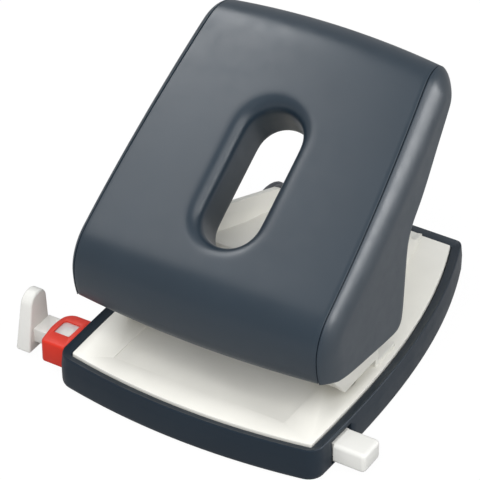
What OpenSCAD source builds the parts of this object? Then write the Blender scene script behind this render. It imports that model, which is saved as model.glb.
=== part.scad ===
// Two-hole desk punch with a wide lever handle.
// Frame: +X right, +Y to the rear (away from the paper), +Z up. The origin lies on the desk plane,
// under the middle of the table.

/* [Table] */
// Width of the table at its front corners
table_w = 98.4; // [96:0.2:102]
// Depth of the table, without the bow of its front edge
table_d = 127.5; // [126:0.5:132]
// Bow of the table's front edge
table_bow = 4.9; // [3:0.1:6]
// Thickness of the table
table_t = 1.6; // [1.4:0.1:2]
// Outward swell of the table's sides
side_swell = 3.9; // [3:0.1:5]
// How far the table's sides draw in at the rear
side_draw = 18.9; // [16:0.1:20]
// Half width of the sunken middle of the table
recess_half = 35.2; // [33:0.2:36]
// Depth of the sunken middle of the table
recess_t = 0.3; // [0.2:0.05:0.5]

/* [Base] */
// Height of the table's top above the desk
base_h = 14; // [13.8:0.1:16]
// Width of the dark rim round the table
rim_w = 4.5; // [4:0.1:6]
// Rounding of the base's upright corners
base_corner = 6.5; // [5:0.5:8]
// Wall thickness of the base
base_wall = 2.2; // [1.8:0.1:2.4]
// How far the feet stand out below the base
foot_h = 0.8; // [0.6:0.1:1]
// Radius of the feet
foot_r = 3.8; // [3:0.1:4]

/* [Chip tray] */
// Thickness of the tray's floor
tray_floor = 1.5; // [1.2:0.1:1.7]
// Thickness of the tray's walls
tray_wall = 1.4; // [1.2:0.1:2]
// Height of the tray's walls above its floor
tray_side = 6.4; // [5:0.2:7]
// Gap round the tray
tray_gap = 0.5; // [0.4:0.1:0.8]
// Radius of the tray's hinge pins
tray_pin_r = 1; // [0.8:0.1:1.1]

/* [Punching] */
// Distance between the two holes
hole_pitch = 80; // [79.6:0.1:80.4]
// Diameter of the punched hole
hole_d = 5.5; // [5:0.1:6]
// Distance of the holes from the paper's edge
edge_distance = 12; // [11:0.5:12.5]
// Clear height of the paper slot
slot_h = 3.5; // [3.3:0.1:4]
// Distance of the pins behind the handle's axle
pin_reach = 22.6; // [22:0.1:24]
// Length of the punch pins
pin_len = 25; // [24.6:0.1:25.4]
// Radius of the pin's collar
collar_r = 4.3; // [4:0.1:4.4]
// Thickness of the steel frame
frame_t = 2; // [1.6:0.1:2.2]

/* [Pin spring] */
// Radius of the spring, to the middle of its wire
spring_r = 3.7; // [3.6:0.05:3.9]
// Radius of the spring wire
wire_r = 0.4; // [0.3:0.05:0.45]
// Number of curls
curls = 5; // [4:1:6]

/* [Handle] */
// Slope of the handle's top
slope = 33.6; // [31:0.1:34]
// Length of the flat stretch of the handle's top
top_len = 88; // [84:0.5:92]
// Radius of the nose
nose_r = 18; // [17:0.5:20]
// Height of the nose's foremost line above the table
nose_z = 34; // [33.5:0.5:36]
// Height of the nose's lower edge above the table
nose_low = 23; // [22:0.5:26]
// Radius of the roll at the handle's top
roll_r = 13; // [12:0.5:14]
// How far the roll turns past the level
roll_turn = 56; // [54:1:58]
// Half width of the handle at its nose
handle_half = 52.9; // [52.8:0.1:54]
// How far the handle's sides draw in towards the top
handle_draw = 6.2; // [5.5:0.1:6.4]
// Half width between the seams at the nose
seam_low = 49.2; // [48.5:0.1:50]
// Half width between the seams at the top
seam_high = 41.7; // [41:0.1:43]
// Crown of the top panel across its width
crown = 2.5; // [1.5:0.1:3]
// Thickness of the handle's shells
shell_t = 2.4; // [2:0.1:2.5]
// Depth of the rounding along the cheeks
round_d = 10.5; // [9.5:0.1:10.8]
// Stroke of the handle, in degrees
stroke = 16.5; // [16:0.1:17]

/* [Finger slot] */
// Half width of the slot at the top panel
slot_half = 14; // [12:0.5:15]
// Length of the slot at the top panel
slot_len = 58; // [54:0.5:60]
// How much narrower the slot gets on each side
slot_draft = 2; // [1:0.1:3]
// Depth of the slot's skirt
skirt_d = 17; // [14:0.5:18]
// Wall thickness of the skirt
skirt_t = 1.8; // [1.4:0.1:2]

/* [Axle] */
// Radius of the handle's axle
axle_r = 2.5; // [2.2:0.1:2.7]
// Height of the axle above the table
axle_z = 28.5; // [28:0.1:29]
// Distance of the axle behind the table's front corners
axle_back = 14; // [13:0.5:15]
// Radial clearance of a running fit
run_fit = 0.05; // [0.03:0.01:0.08]
// Thickness of the lever's steel
lever_t = 1.8; // [1.5:0.1:2]

/* [Paper guide] */
// Width of the guide rail
rail_w = 10; // [9:0.2:10.4]
// Height of the guide rail
rail_h = 5.6; // [5:0.1:5.8]
// Distance of the rail's middle behind the table's front corners
rail_back = 12.7; // [12:0.1:13.2]
// Top of the rail below the table's top
rail_drop = 3; // [2.8:0.1:3.4]
// Distance of the end stop's inner face from the middle
stop_reach = 71.3; // [70:0.1:74]
// Size of the end stop: thickness, width and height
stop_size = [5.4, 12.4, 23.2];
// Length of the rail's end cap
cap_len = 11.5; // [9:0.5:12]
// Clearance round the rail
rail_gap = 0.3; // [0.2:0.05:0.4]

/* [Frame cover] */
// Half width of the cover at its rear end
cover_half = 20.5; // [19:0.5:22]
// Outward slope of the cover's lips, in degrees
cover_splay = 12.7; // [11:0.1:13.5]
// Thickness of the cover's lips
lip_t = 1.8; // [1.5:0.1:2.2]
// Travel of the lock's slider
lock_travel = 6; // [4:0.5:6]

/* [Hidden] */

$fn = 48;
eps = 0.01;
seat = 0.2;          // gap between parts of different bodies that pass each other
front = -table_d / 2; // the table's front corners
steps = 14;          // points along each side of the table

// ---- plan of the table and of the base ----
function side_x(t) = table_w / 2 + side_swell * t - side_draw * pow(t, 2.75);
function front_y(x) = front - table_bow * (1 - pow(2 * x / table_w, 2));
function table_points() = concat(
    [for (i = [0:steps]) let (x = (i / steps - 0.5) * table_w) [x, front_y(x)]],
    [for (i = [1:steps]) [side_x(i / steps), front + table_d * i / steps]],
    [for (i = [steps:-1:1]) [-side_x(i / steps), front + table_d * i / steps]]);
module table_plan() { polygon(table_points()); }
// the base's outline is swept from a core line inside the table's edge: [point, outward direction]
core_in = base_corner - rim_w;
corner_n = 5;
function unit(v) = v / norm(v);
function front_out(x) = unit([8 * table_bow * x / pow(table_w, 2), -1]);
function side_out(t) = unit([table_d, 2.75 * side_draw * pow(t, 1.75) - side_swell]);
function turned(a, b, k) = let (u = atan2(a[1], a[0]), v = atan2(b[1], b[0]), w = u + (v - u) * k)
    [cos(w), sin(w)];
function corner(p, a, b) = let (c = p - core_in * (a + b) / (1 + a * b))
    [for (k = [0:corner_n]) [c, turned(a, b, k / corner_n)]];
right_core = concat(
    [for (i = [1:steps / 2 - 1]) let (x = i / steps * table_w, o = front_out(x))
        [[x, front_y(x)] - core_in * o, o]],
    corner([table_w / 2, front], front_out(table_w / 2), side_out(0)),
    [for (i = [1:steps - 1]) let (t = i / steps, o = side_out(t))
        [[side_x(t), front + table_d * t] - core_in * o, o]],
    corner([side_x(1), -front], side_out(1), [0, 1]));
core = concat([[[0, front_y(0) + core_in], [0, -1]]], right_core,
    [for (i = [len(right_core) - 1:-1:0]) let (m = right_core[i])
        [[-m[0][0], m[0][1]], [-m[1][0], m[1][1]]]]);
// ring round the table, this far outside its edge
function ring(out, z) = [for (m = core) let (q = m[0] + (core_in + out) * m[1]) [q[0], q[1], z]];
module slab(z, t) { translate([0, 0, z]) linear_extrude(t) children(); }
module box(lo, hi) { translate(lo) cube(hi - lo); }
// a bar or hole along X, from x0 to x1
module along_x(x0, x1, r, y, z) {
    translate([x0, y, z]) rotate([0, 90, 0]) cylinder(r = r, h = x1 - x0);
}
module both_sides() {
    children();
    mirror([1, 0, 0]) children();
}

// ---- heights in the base ----
table_low = base_h - table_t;
base_low = foot_h;
edge_round = 1.6;    // rounding of the base's lower edge, as a double chamfer
ridge_up = 0.3;      // the rim's ridge stands this much above the table
ridge_w = 1;
groove_d = 0.8;
groove_w = 0.35;     // dark gap round the table

// ---- posts, feet and the chip tray ----
post_r = 4.4;
post_x = [40, 32.5];        // front and rear posts, from the middle
post_in = [1.8, 10.5];      // and from the table's corners
post_at = [for (m = [1, -1], i = [0, 1]) [m * post_x[i], i == 0 ? front + post_in[0] : -front - post_in[1]]];
foot_deep = 1.2;
screw_r = 1.5;
head_r = 2.6;
head_t = 2;
boss_r = 3.2;
boss_h = 5;
tray_axis_y = front + table_d - 1;
tray_axis_z = base_low + 1.8;
knuckle_r = 1.8;
knuckle_x = [22, 30];
lug_w = 2.7;
pan_points = let (a = [table_w / 2 - 3.7, 27],
    y = [front + 23, front + 70, -front - 15.5, -front - 7.5])
    [[-a[0], y[0]], [a[0], y[0]], [a[0], y[1]], [a[1], y[2]],
        [a[1], y[3]], [-a[1], y[3]], [-a[1], y[2]], [-a[0], y[1]]];

// ---- punching gear ----
axle_y = front + axle_back;
axle_h = base_h + axle_z;
pin_y = axle_y + pin_reach;
pin_x = hole_pitch / 2;
pin_r = hole_d / 2;
stop_y = pin_y + edge_distance;      // face of the paper stop
web_z = base_h + slot_h;
bush_r = 4.2;
bush_len = 8;
tip_z = web_z + 0.7;
pin_top = tip_z + pin_len;
collar_t = 2;
collar_z = pin_top - 1 - collar_t;
bar_r = 3;
bar_gap = 0.3;
bar_z = pin_top + bar_gap + bar_r;
die_r = 5;
frame_x = pin_x + collar_r + 0.5;    // inner face of the frame's ears
lever_x = frame_x + frame_t + 0.8;   // inner face of the lever's sides
frame_foot = 12;
frame_back = stop_y + frame_t + frame_foot;

// ---- paper guide ----
rail_y = front + rail_back;
rail_top = base_h - rail_drop;
rail_low = rail_top - rail_h;
wall_x = side_x(rail_back / table_d) + rim_w;
cap_w = 11.8;
cap_top = base_h - 2.6;
cap_low = base_h - 10.6;
housing_len = 9.8;
housing_top = base_h;
housing_low = base_h - 9.4;
housing_y = [front + 0.6, front + 19.4];
strip_t = 0.4;
notch_gap = 0.4;

// ---- handle: side profile of its outer surface at the seams ----
// each entry is [y, z, angle of the surface, length along the panel]
nose_y = front + 2.5;
nose_arc = [nose_y + nose_r, base_h + nose_z];
low_r = 30;
low_turn = asin((nose_z - nose_low) / low_r);
flat_0 = nose_arc + nose_r * [-sin(slope), cos(slope)];
flat_dir = [cos(slope), sin(slope)];
flat_nrm = [-sin(slope), cos(slope)];
flat_1 = flat_0 + top_len * flat_dir;
roll_c = flat_1 - roll_r * flat_nrm;
n_low = 2;
n_nose = 7;
n_flat = 10;
n_roll = 8;
profile = concat(
    [for (i = [n_low:-1:1]) let (b = low_turn * i / n_low)
        [nose_y + low_r * (1 - cos(b)), base_h + nose_z - low_r * sin(b), 90 + b, 0]],
    [for (i = [0:n_nose - 1]) let (a = 90 - (90 - slope) * i / n_nose)
        [nose_arc[0] - nose_r * sin(a), nose_arc[1] + nose_r * cos(a), a, 0]],
    [for (i = [0:n_flat - 1]) let (p = flat_0 + flat_dir * top_len * i / n_flat)
        [p[0], p[1], slope, top_len * i / n_flat]],
    [for (i = [0:n_roll]) let (a = slope - (slope + roll_turn) * i / n_roll)
        [roll_c[0] - roll_r * sin(a), roll_c[1] + roll_r * cos(a), a,
            top_len + roll_r * (slope - a) * PI / 180]]);
panel_len = top_len + roll_r * (slope + roll_turn) * PI / 180;
seam_gap = 0.15;
function seam(s) = seam_low - (seam_low - seam_high) * pow(s / panel_len, 1.7);
function side(s) = handle_half - handle_draw * pow(min(max(s / panel_len, 0), 1), 2.1);
// a point under the profile entry p, at depth d, as [y, z]
function under(p, d) = [p[0] + d * sin(p[2]), p[1] - d * cos(p[2])];
// a point given by its length along the panel's flat stretch and its depth
function on_flat(s, d) = flat_0 + s * flat_dir - d * flat_nrm;
function rise(x, half) = crown * (1 - pow(x / half, 2));

// closed shell between two grids of points, the outer one first, rows along the handle
module shell(outer, inner) {
    m = len(outer);
    n = len(outer[0]);
    k = m * n;
    polyhedron(
        points = concat([for (r = outer) for (p = r) p], [for (r = inner) for (p = r) p]),
        faces = concat(
            [for (i = [0:m - 2]) for (j = [0:n - 2]) let (a = i * n + j, b = a + n)
                each [[a, b, b + 1], [a, b + 1, a + 1],
                    [k + a, k + b + 1, k + b], [k + a, k + a + 1, k + b + 1]]],
            [for (i = [0:m - 2]) let (a = i * n, b = a + n, c = a + n - 1, d = c + n)
                each [[a, k + b, b], [a, k + a, k + b], [c, d, k + d], [c, k + d, k + c]]],
            [for (j = [0:n - 2]) let (a = j, c = (m - 1) * n + j)
                each [[a, a + 1, k + a + 1], [a, k + a + 1, k + a],
                    [c, k + c + 1, c + 1], [c, k + c, k + c + 1]]]));
}
// skin of rings, each a closed loop of the same number of points
module skin(rings) {
    n = len(rings[0]);
    m = len(rings);
    polyhedron(
        points = [for (r = rings) for (p = r) p],
        faces = concat(
            [[for (j = [0:n - 1]) j]],
            [for (i = [0:m - 2]) for (j = [0:n - 1]) let (k = (j + 1) % n)
                let (a = i * n, b = a + n)
                each [[a + j, b + j, b + k], [a + j, b + k, a + k]]],
            [[for (j = [n - 1:-1:0]) (m - 1) * n + j]]));
}

// ================= base =================
module base_outer() {
    skin([ring(rim_w - edge_round, base_low), ring(rim_w - edge_round * 0.3, base_low + edge_round * 0.3),
        ring(rim_w, base_low + edge_round), ring(rim_w, base_h + ridge_up - 0.5),
        ring(rim_w - 0.5, base_h + ridge_up)]);
}

module base_body() color([0.17, 0.21, 0.26]) {
    difference() {
        union() {
            difference() {
                base_outer();
                // dished rim round the table
                skin([ring(0, base_h - groove_d), ring(groove_w + 0.4, base_h - groove_d),
                    ring(rim_w - ridge_w - 1, base_h - 0.3), ring(rim_w - ridge_w, base_h + ridge_up),
                    ring(rim_w - ridge_w, base_h + 2)]);
                // seat of the table, and the hollow below it
                slab(table_low, table_t + 1) offset(delta = groove_w) table_plan();
                slab(base_low - 1, base_h) offset(delta = rim_w - base_wall) table_plan();
            }
            // ledge that carries the table
            difference() {
                slab(table_low - 1.6, 1.6) offset(delta = rim_w - base_wall / 2) table_plan();
                slab(table_low - 2, 3) offset(delta = -1.4) table_plan();
            }
            for (p = post_at) {
                translate([p[0], p[1], base_low]) cylinder(r = post_r, h = table_low - boss_h - base_low);
                post_rib(p, 0);
            }
            both_sides() for (x = [knuckle_x[0] - 0.3 - lug_w, knuckle_x[1] + 0.3]) tray_lug(x);
        }
        for (p = post_at) translate([p[0], p[1], 0]) {
            translate([0, 0, table_low - boss_h]) cylinder(r = boss_r + 0.15, h = boss_h + 1);
            cylinder(r = foot_r, h = base_low + foot_deep);
            cylinder(r = head_r + 0.2, h = base_low + foot_deep + head_t + 0.1);
            cylinder(r = screw_r + 0.2, h = base_h);
        }
        both_sides() along_x(knuckle_x[0] - 5, knuckle_x[1] + 5, tray_pin_r, tray_axis_y, tray_axis_z);
        both_sides() translate([pin_x, pin_y, 0]) cylinder(r = die_r + 0.3, h = base_h + 1);
        // way through both walls for the rail and its end cap
        box([0, rail_y - cap_w / 2 - notch_gap, cap_low - notch_gap],
            [wall_x + 5, rail_y + cap_w / 2 + notch_gap, cap_top + notch_gap]);
        box([-wall_x - 5, rail_y - rail_w / 2 - rail_gap, rail_low - rail_gap],
            [0, rail_y + rail_w / 2 + rail_gap, rail_top + rail_gap + strip_t]);
    }
}

// rib from a post to the nearest wall, this much larger all round
module post_rib(p, grow) {
    wall_y = p[1] < 0 ? front - 5.2 + grow : -front + rim_w - base_wall / 2;
    box([p[0] - 2 - grow, min(p[1], wall_y), base_low],
        [p[0] + 2 + grow, max(p[1], wall_y), table_low - boss_h]);
}
module tray_lug(x) {
    along_x(x, x + lug_w, knuckle_r, tray_axis_y, tray_axis_z);
    box([x, tray_axis_y, base_low], [x + lug_w, -front + rim_w - base_wall / 2, table_low - 2]);
}

module table_plate() color([0.86, 0.85, 0.81]) {
    difference() {
        union() {
            slab(table_low, table_t) table_plan();
            for (p = post_at) translate([p[0], p[1], table_low - boss_h])
                cylinder(r = boss_r, h = boss_h + eps);
        }
        // sunken middle that the paper slides on
        box([-recess_half, front + 5.5, base_h - recess_t], [recess_half, stop_y - 1, base_h + 1]);
        both_sides() translate([pin_x, pin_y, 0]) cylinder(r = die_r, h = base_h + 1);
        for (p = post_at) translate([p[0], p[1], 0]) cylinder(r = screw_r, h = table_low - 0.6);
        for (p = rivet_at) translate([p[0], p[1], 0]) cylinder(r = rivet_r, h = base_h + 1);
        for (p = cover_screw_at) translate([p[0], p[1], 0]) cylinder(r = screw_r, h = base_h + 1);
    }
}

module table_screws() color([0.6, 0.6, 0.62])
    for (p = post_at) translate([p[0], p[1], base_low + foot_deep]) difference() {
        union() {
            cylinder(r = head_r, h = head_t);
            cylinder(r = screw_r, h = table_low - 1 - base_low - foot_deep);
        }
        translate([-0.4, -head_r, -eps]) cube([0.8, 2 * head_r, 0.7]);
    }

module rubber_feet() color([0.08, 0.08, 0.09])
    for (p = post_at) translate([p[0], p[1], 0]) {
        cylinder(r1 = foot_r - 0.5, r2 = foot_r - 0.05, h = foot_h);
        translate([0, 0, foot_h - eps]) cylinder(r = foot_r - 0.05, h = foot_deep);
    }

module tray_hinge_pins() color([0.7, 0.7, 0.72])
    both_sides() along_x(knuckle_x[0] - 0.3 - lug_w, knuckle_x[1] + 0.3 + lug_w, tray_pin_r,
        tray_axis_y, tray_axis_z);

tray_front = front - table_bow - rim_w + base_wall + tray_gap;   // the tray's edge in front
module chip_tray() color([0.15, 0.18, 0.22]) {
    difference() {
        union() {
            difference() {
                slab(base_low, tray_floor) offset(delta = rim_w - base_wall - tray_gap) table_plan();
                box([-60, tray_axis_y - 0.2, 0], [60, tray_axis_y + 20, 10]);
                both_sides() box([knuckle_x[0] - 4, tray_axis_y - 3.4, 0],
                    [knuckle_x[1] + 8.5, tray_axis_y + 5, 10]);
                for (p = post_at) {
                    translate([p[0], p[1], 0]) cylinder(r = post_r + tray_gap, h = 10);
                    translate([0, 0, -1]) post_rib(p, tray_gap);
                }
            }
            // walls that hold the chips
            slab(base_low + tray_floor - eps, tray_side) difference() {
                polygon(pan_points);
                offset(delta = -tray_wall) polygon(pan_points);
            }
            // hinge knuckles
            both_sides() {
                along_x(knuckle_x[0], knuckle_x[1], knuckle_r, tray_axis_y, tray_axis_z);
                box([knuckle_x[0], tray_axis_y - 4, base_low],
                    [knuckle_x[1], tray_axis_y, base_low + tray_floor]);
            }
            // snap tongue behind the front wall
            box([-9, tray_front + 0.4, base_low], [9, tray_front + 1.6, base_low + 6]);
        }
        both_sides() along_x(knuckle_x[0] - 1, knuckle_x[1] + 1, tray_pin_r + run_fit,
            tray_axis_y, tray_axis_z);
        // finger notch at the front
        box([-12, tray_front - 8, base_low - 1], [12, tray_front + 0.2, 9]);
    }
}

// ================= punching gear =================
rivet_r = 1.6;
rivet_at = [for (x = [-36, -18, 18, 36]) [x, stop_y + frame_t + frame_foot / 2]];

module dies() color([0.55, 0.56, 0.58])
    both_sides() translate([pin_x, pin_y, table_low - 1.5]) difference() {
        cylinder(r = die_r, h = table_t + 1.5 - recess_t);
        translate([0, 0, -1]) cylinder(r = pin_r + run_fit, h = 6);
    }

// outline of one ear of the frame, in Y and Z
module ear_outline() {
    translate([axle_y, axle_h]) circle(r = 6.2);
    polygon([[axle_y - 4.6, axle_h - 4], [axle_y + 4.6, axle_h + 4], [pin_y - 6, web_z + 15],
        [stop_y + frame_t, web_z + 13], [stop_y + frame_t, web_z], [axle_y + 13, web_z]]);
}

module punch_frame() color([0.78, 0.79, 0.79]) {
    difference() {
        union() {
            both_sides() {
                translate([frame_x, 0, 0]) rotate([90, 0, 90]) linear_extrude(frame_t) ear_outline();
                box([pin_x - 8, pin_y - 9, web_z], [frame_x + eps, stop_y + eps, web_z + frame_t]);
            }
            box([-frame_x - frame_t, stop_y, base_h], [frame_x + frame_t, stop_y + frame_t, web_z + 4]);
            box([-frame_x - frame_t, stop_y, base_h],
                [frame_x + frame_t, frame_back, base_h + frame_t]);
        }
        both_sides() translate([pin_x, pin_y, web_z - 1]) cylinder(r = bush_r, h = frame_t + 2);
        along_x(-60, 60, axle_r, axle_y, axle_h);
        for (p = rivet_at) translate([p[0], p[1], 0]) cylinder(r = rivet_r, h = 40);
    }
}

module guide_bushes() color([0.72, 0.6, 0.32])
    both_sides() translate([pin_x, pin_y, web_z]) difference() {
        cylinder(r = bush_r, h = bush_len);
        translate([0, 0, -1]) cylinder(r = pin_r + run_fit, h = bush_len + 2);
    }

module frame_rivets() color([0.7, 0.7, 0.72])
    for (p = rivet_at) translate([p[0], p[1], table_low]) {
        cylinder(r = rivet_r, h = table_t + frame_t);
        translate([0, 0, table_t + frame_t]) cylinder(r1 = rivet_r * 1.8, r2 = rivet_r, h = 0.9);
        translate([0, 0, -0.8]) cylinder(r = rivet_r * 1.6, h = 0.8);
    }

module pivot_axle() color([0.75, 0.75, 0.77])
    along_x(-lever_x - lever_t - 0.9, lever_x + lever_t + 0.9, axle_r, axle_y, axle_h);

module axle_clips() color([0.3, 0.3, 0.32])
    both_sides() difference() {
        along_x(lever_x + lever_t + seat, lever_x + lever_t + seat + 0.6, axle_r + 1.6, axle_y, axle_h);
        along_x(lever_x, lever_x + 10, axle_r, axle_y, axle_h);
        box([lever_x, axle_y - 1.5, axle_h], [lever_x + 10, axle_y + 1.5, axle_h + 10]);
    }

module punch_pin() {
    difference() {
        translate([0, 0, tip_z]) cylinder(r = pin_r, h = pin_len);
        // hollow ground cutting end
        translate([-10, 0, tip_z - 3.4]) rotate([0, 90, 0]) cylinder(r = 4.2, h = 20);
    }
}
module punch_pin_left() color([0.8, 0.8, 0.82]) translate([-pin_x, pin_y, 0]) punch_pin();
module punch_pin_right() color([0.8, 0.8, 0.82]) translate([pin_x, pin_y, 0]) punch_pin();

module pin_collar() {
    translate([0, 0, collar_z]) difference() {
        cylinder(r = collar_r, h = collar_t);
        translate([0, 0, -1]) cylinder(r = pin_r, h = collar_t + 2);
    }
}
module pin_collar_left() color([0.62, 0.62, 0.65]) translate([-pin_x, pin_y, 0]) pin_collar();
module pin_collar_right() color([0.62, 0.62, 0.65]) translate([pin_x, pin_y, 0]) pin_collar();

// ---- wound spring between the bush and the collar ----
wire_sides = 6;
curl_rings = 8;
spring_low = web_z + bush_len + wire_r;
spring_high = collar_z - wire_r;
dead = 0.75;                       // part of a curl that lies flat at each end
function wind(t) = // height at t curls
    let (k = min(max((t - dead) / (curls - 2 * dead), 0), 1), flat = 2.4 * wire_r)
    spring_low + (t < dead ? flat * t / dead : t > curls - dead ?
        spring_high - spring_low - flat * (curls - t) / dead :
        flat + (spring_high - spring_low - 2 * flat) * k);
module pin_spring() {
    skin([for (i = [0:curls * curl_rings]) let (t = i / curl_rings, a = 360 * t)
        [for (j = [0:wire_sides - 1]) let (b = -360 * j / wire_sides, q = spring_r + wire_r * cos(b))
            [q * cos(a), q * sin(a), wind(t) + wire_r * sin(b)]]]);
}
spring_gap = min([for (i = [0:(curls - 1) * curl_rings])
    wind(i / curl_rings + 1) - wind(i / curl_rings)]) - 2 * wire_r;
echo(least_spring_gap = spring_gap);
module pin_spring_left() color([0.66, 0.67, 0.7]) translate([-pin_x, pin_y, 0]) pin_spring();
module pin_spring_right() color([0.66, 0.67, 0.7]) translate([pin_x, pin_y, 0]) pin_spring();

// ================= frame cover and lock =================
cover_rear = front + table_d - 0.5;
cover_front = frame_back + 0.5;
cover_t = 1.6;
// heights above the table against the distance from the cover's rear end
lip_top = [[0, 0.8], [7, 3], [13.5, 7.5], [18.5, 13.5], [23.5, 18.1], [51, 24.6], [62, 26]];
floor_top = [[0, 0.8], [10, 3.4], [20, 8.5], [31, 11.2], [40, 12], [46, 13.2], [54, 15], [62, 17.5]];
cover_len = cover_rear - cover_front;
lip_len = cover_len / cos(cover_splay);
cover_screw_at = [[12, cover_rear - 6], [-12, cover_rear - 6]];
// the line of such a list between two distances from the rear
function lip_line(list, d0, d1, n, down = 0) =
    [for (i = [0:n]) let (d = d0 + (d1 - d0) * i / n) [-d, base_h + lookup(d, list) - down]];
module lip() {
    // one lip, standing on the table, its inner face through the cover's rear corner
    translate([-cover_half, cover_rear, 0]) rotate([0, 0, -cover_splay]) translate([-lip_t, 0, 0])
        rotate([90, 0, 90]) linear_extrude(lip_t + 0.2)
            polygon(concat([[0, base_h], [-lip_len, base_h]], lip_line(lip_top, lip_len, 0, 24)));
}
module cover_floor() {
    intersection() {
        translate([-60, cover_rear, 0]) rotate([90, 0, 90]) linear_extrude(120)
            polygon(concat(lip_line(floor_top, 0, cover_len, 24),
                lip_line(floor_top, cover_len, 0, 24, cover_t)));
        cover_plan();
        slab(base_h, 60) square(300, center = true);
    }
}
module cover_plan() {
    slab(base_h, 60) polygon([[-cover_half, cover_rear], [cover_half, cover_rear],
        [cover_half + cover_len * tan(cover_splay), cover_front],
        [-cover_half - cover_len * tan(cover_splay), cover_front]]);
}
module frame_cover() color([0.84, 0.84, 0.82]) {
    difference() {
        union() {
            both_sides() lip();
            cover_floor();
            // front wall
            intersection() {
                cover_plan();
                box([-60, cover_front, base_h],
                    [60, cover_front + cover_t, base_h + lookup(cover_len, floor_top) - 0.5]);
            }
            for (p = cover_screw_at) translate([p[0], p[1], base_h]) cylinder(r = 3.4, h = 1.8);
        }
        for (p = cover_screw_at) translate([p[0], p[1], 0]) cylinder(r = screw_r, h = base_h + 1.4);
        lock_place() translate([-lock_travel, 0]) hull() {
            translate([0, 0, -3]) cylinder(r = lock_pin_r + seat, h = 8);
            translate([lock_travel, 0, -3]) cylinder(r = lock_pin_r + seat, h = 8);
        }
    }
}
module cover_screws() color([0.6, 0.6, 0.62])
    for (p = cover_screw_at) translate([p[0], p[1], table_low - head_t]) {
        cylinder(r = head_r, h = head_t);
        cylinder(r = screw_r, h = head_t + table_t + 1.2);
    }

// the lock's slider lies against the outer face of the left lip
lock_pin_r = 1.2;
lock_z = 2.6;
lock_from_rear = 25;
module lock_place() {
    // +X of this place runs forwards along the lip, and +Z points out of the lip's outer face
    translate([-cover_half, cover_rear, base_h + lock_z]) rotate([0, 0, -cover_splay])
        translate([-lip_t, -lock_from_rear, 0]) rotate([90, 0, -90]) children();
}
module lock_slider() color([0.2, 0.21, 0.23]) lock_place() {
    translate([0, 0, seat]) linear_extrude(2.2) polygon(concat(
        [[7, -1.8], [7, 10.6]],
        [for (i = [0:10]) let (a = 180 * i / 10) [7.5 * cos(a) - 0.5, 10.6 + 5.4 * sin(a)]],
        [[-8, -1.8]]));
    translate([0, 0, -lip_t - 2 * seat]) cylinder(r = lock_pin_r, h = lip_t + 3 * seat + eps);
    translate([0, 0, -lip_t - 2 * seat - 1]) cylinder(r = lock_pin_r + 0.6, h = 1 + eps);
}

// ================= paper guide =================
module window_housing() color([0.8, 0.2, 0.15]) {
    difference() {
        // sharper towards the front, round towards the rear
        slab(housing_low, housing_top - housing_low) hull() {
            translate([-wall_x - housing_len + 1.6, housing_y[0] + 1.6]) circle(r = 1.6);
            translate([-wall_x - housing_len + 6.5, housing_y[1] - 6.5]) circle(r = 6.5);
            translate([-wall_x + 3, housing_y[0]]) square([1, housing_y[1] - housing_y[0]]);
        }
        base_outer();
        box([-wall_x - 20, rail_y - rail_w / 2 - rail_gap, rail_low - rail_gap],
            [0, rail_y + rail_w / 2 + rail_gap, rail_top + rail_gap + strip_t]);
        window_cut(0);
    }
}
window_x = [-wall_x - 7.6, -wall_x - 1.6];
window_y = [rail_y - 4.4, rail_y + 3.2];
module window_cut(in) {
    box([window_x[0] + in, window_y[0] + in, rail_top],
        [window_x[1] - in, window_y[1] - in, housing_top + 1]);
}
module window_lens() color([0.9, 0.92, 0.92, 0.4])
    box([window_x[0], window_y[0], housing_top - 1.3], [window_x[1], window_y[1], housing_top - 0.5]);

rail_left = -stop_reach;
rail_right = wall_x;
detent = [0.6, 1.2];     // depth and half width of a detent notch
spring_x = 12.2 - table_w / 2;
leaf_half = 10.4;
detent_at = [for (reach = [74, 105, 128.5, 148.5]) spring_x + reach - stop_reach];
module guide_rail() color([0.88, 0.88, 0.86]) difference() {
    box([rail_left, rail_y - rail_w / 2, rail_low], [rail_right, rail_y + rail_w / 2, rail_top]);
    box([rail_left + 6, rail_y - 2.6, rail_top - strip_t], [rail_right - 6, rail_y + 2.6, rail_top + 1]);
    for (x = detent_at) translate([x, rail_y + rail_w / 2, rail_low - 1]) rotate([0, 0, 45])
        cube([detent[1] * 1.2, detent[1] * 1.2, rail_h + 2], center = false);
    for (x = detent_at) translate([x, rail_y + rail_w / 2 + detent[1] * 0.7, rail_low - 1])
        cylinder(r = detent[1] + 0.3, h = rail_h + 2);
}
module scale_strip() color([0.95, 0.94, 0.88]) difference() {
    box([rail_left + 6, rail_y - 2.6, rail_top - strip_t], [rail_right - 6, rail_y + 2.6, rail_top]);
    // plain marks
    for (i = [0:23]) let (x = rail_left + 8 + i * 5)
        box([x, rail_y + 2.6 - (i % 2 == 0 ? 2.4 : 1.4), rail_top - 0.15],
            [x + 0.4, rail_y + 3, rail_top + 1]);
}
module end_stop() color([0.88, 0.88, 0.86]) {
    x1 = rail_left;
    x0 = x1 - stop_size[0];
    y0 = rail_y - 1.6 - stop_size[1] / 2;
    z0 = base_h - 11.4;
    round = 4;
    difference() {
        translate([x0, 0, 0]) rotate([90, 0, 90]) linear_extrude(stop_size[0]) union() {
            translate([y0, z0]) square([stop_size[1], stop_size[2] - round]);
            translate([y0 + round, z0]) square([stop_size[1] - 2 * round, stop_size[2]]);
            translate([y0 + round, z0 + stop_size[2] - round]) circle(r = round);
            translate([y0 + stop_size[1] - round, z0 + stop_size[2] - round]) circle(r = round);
        }
        // thinner top on the paper's side
        translate([x1 + 0.6, y0 - 1, z0 + 11.5]) rotate([0, -5, 0]) cube([6, 20, 20]);
    }
}
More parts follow.
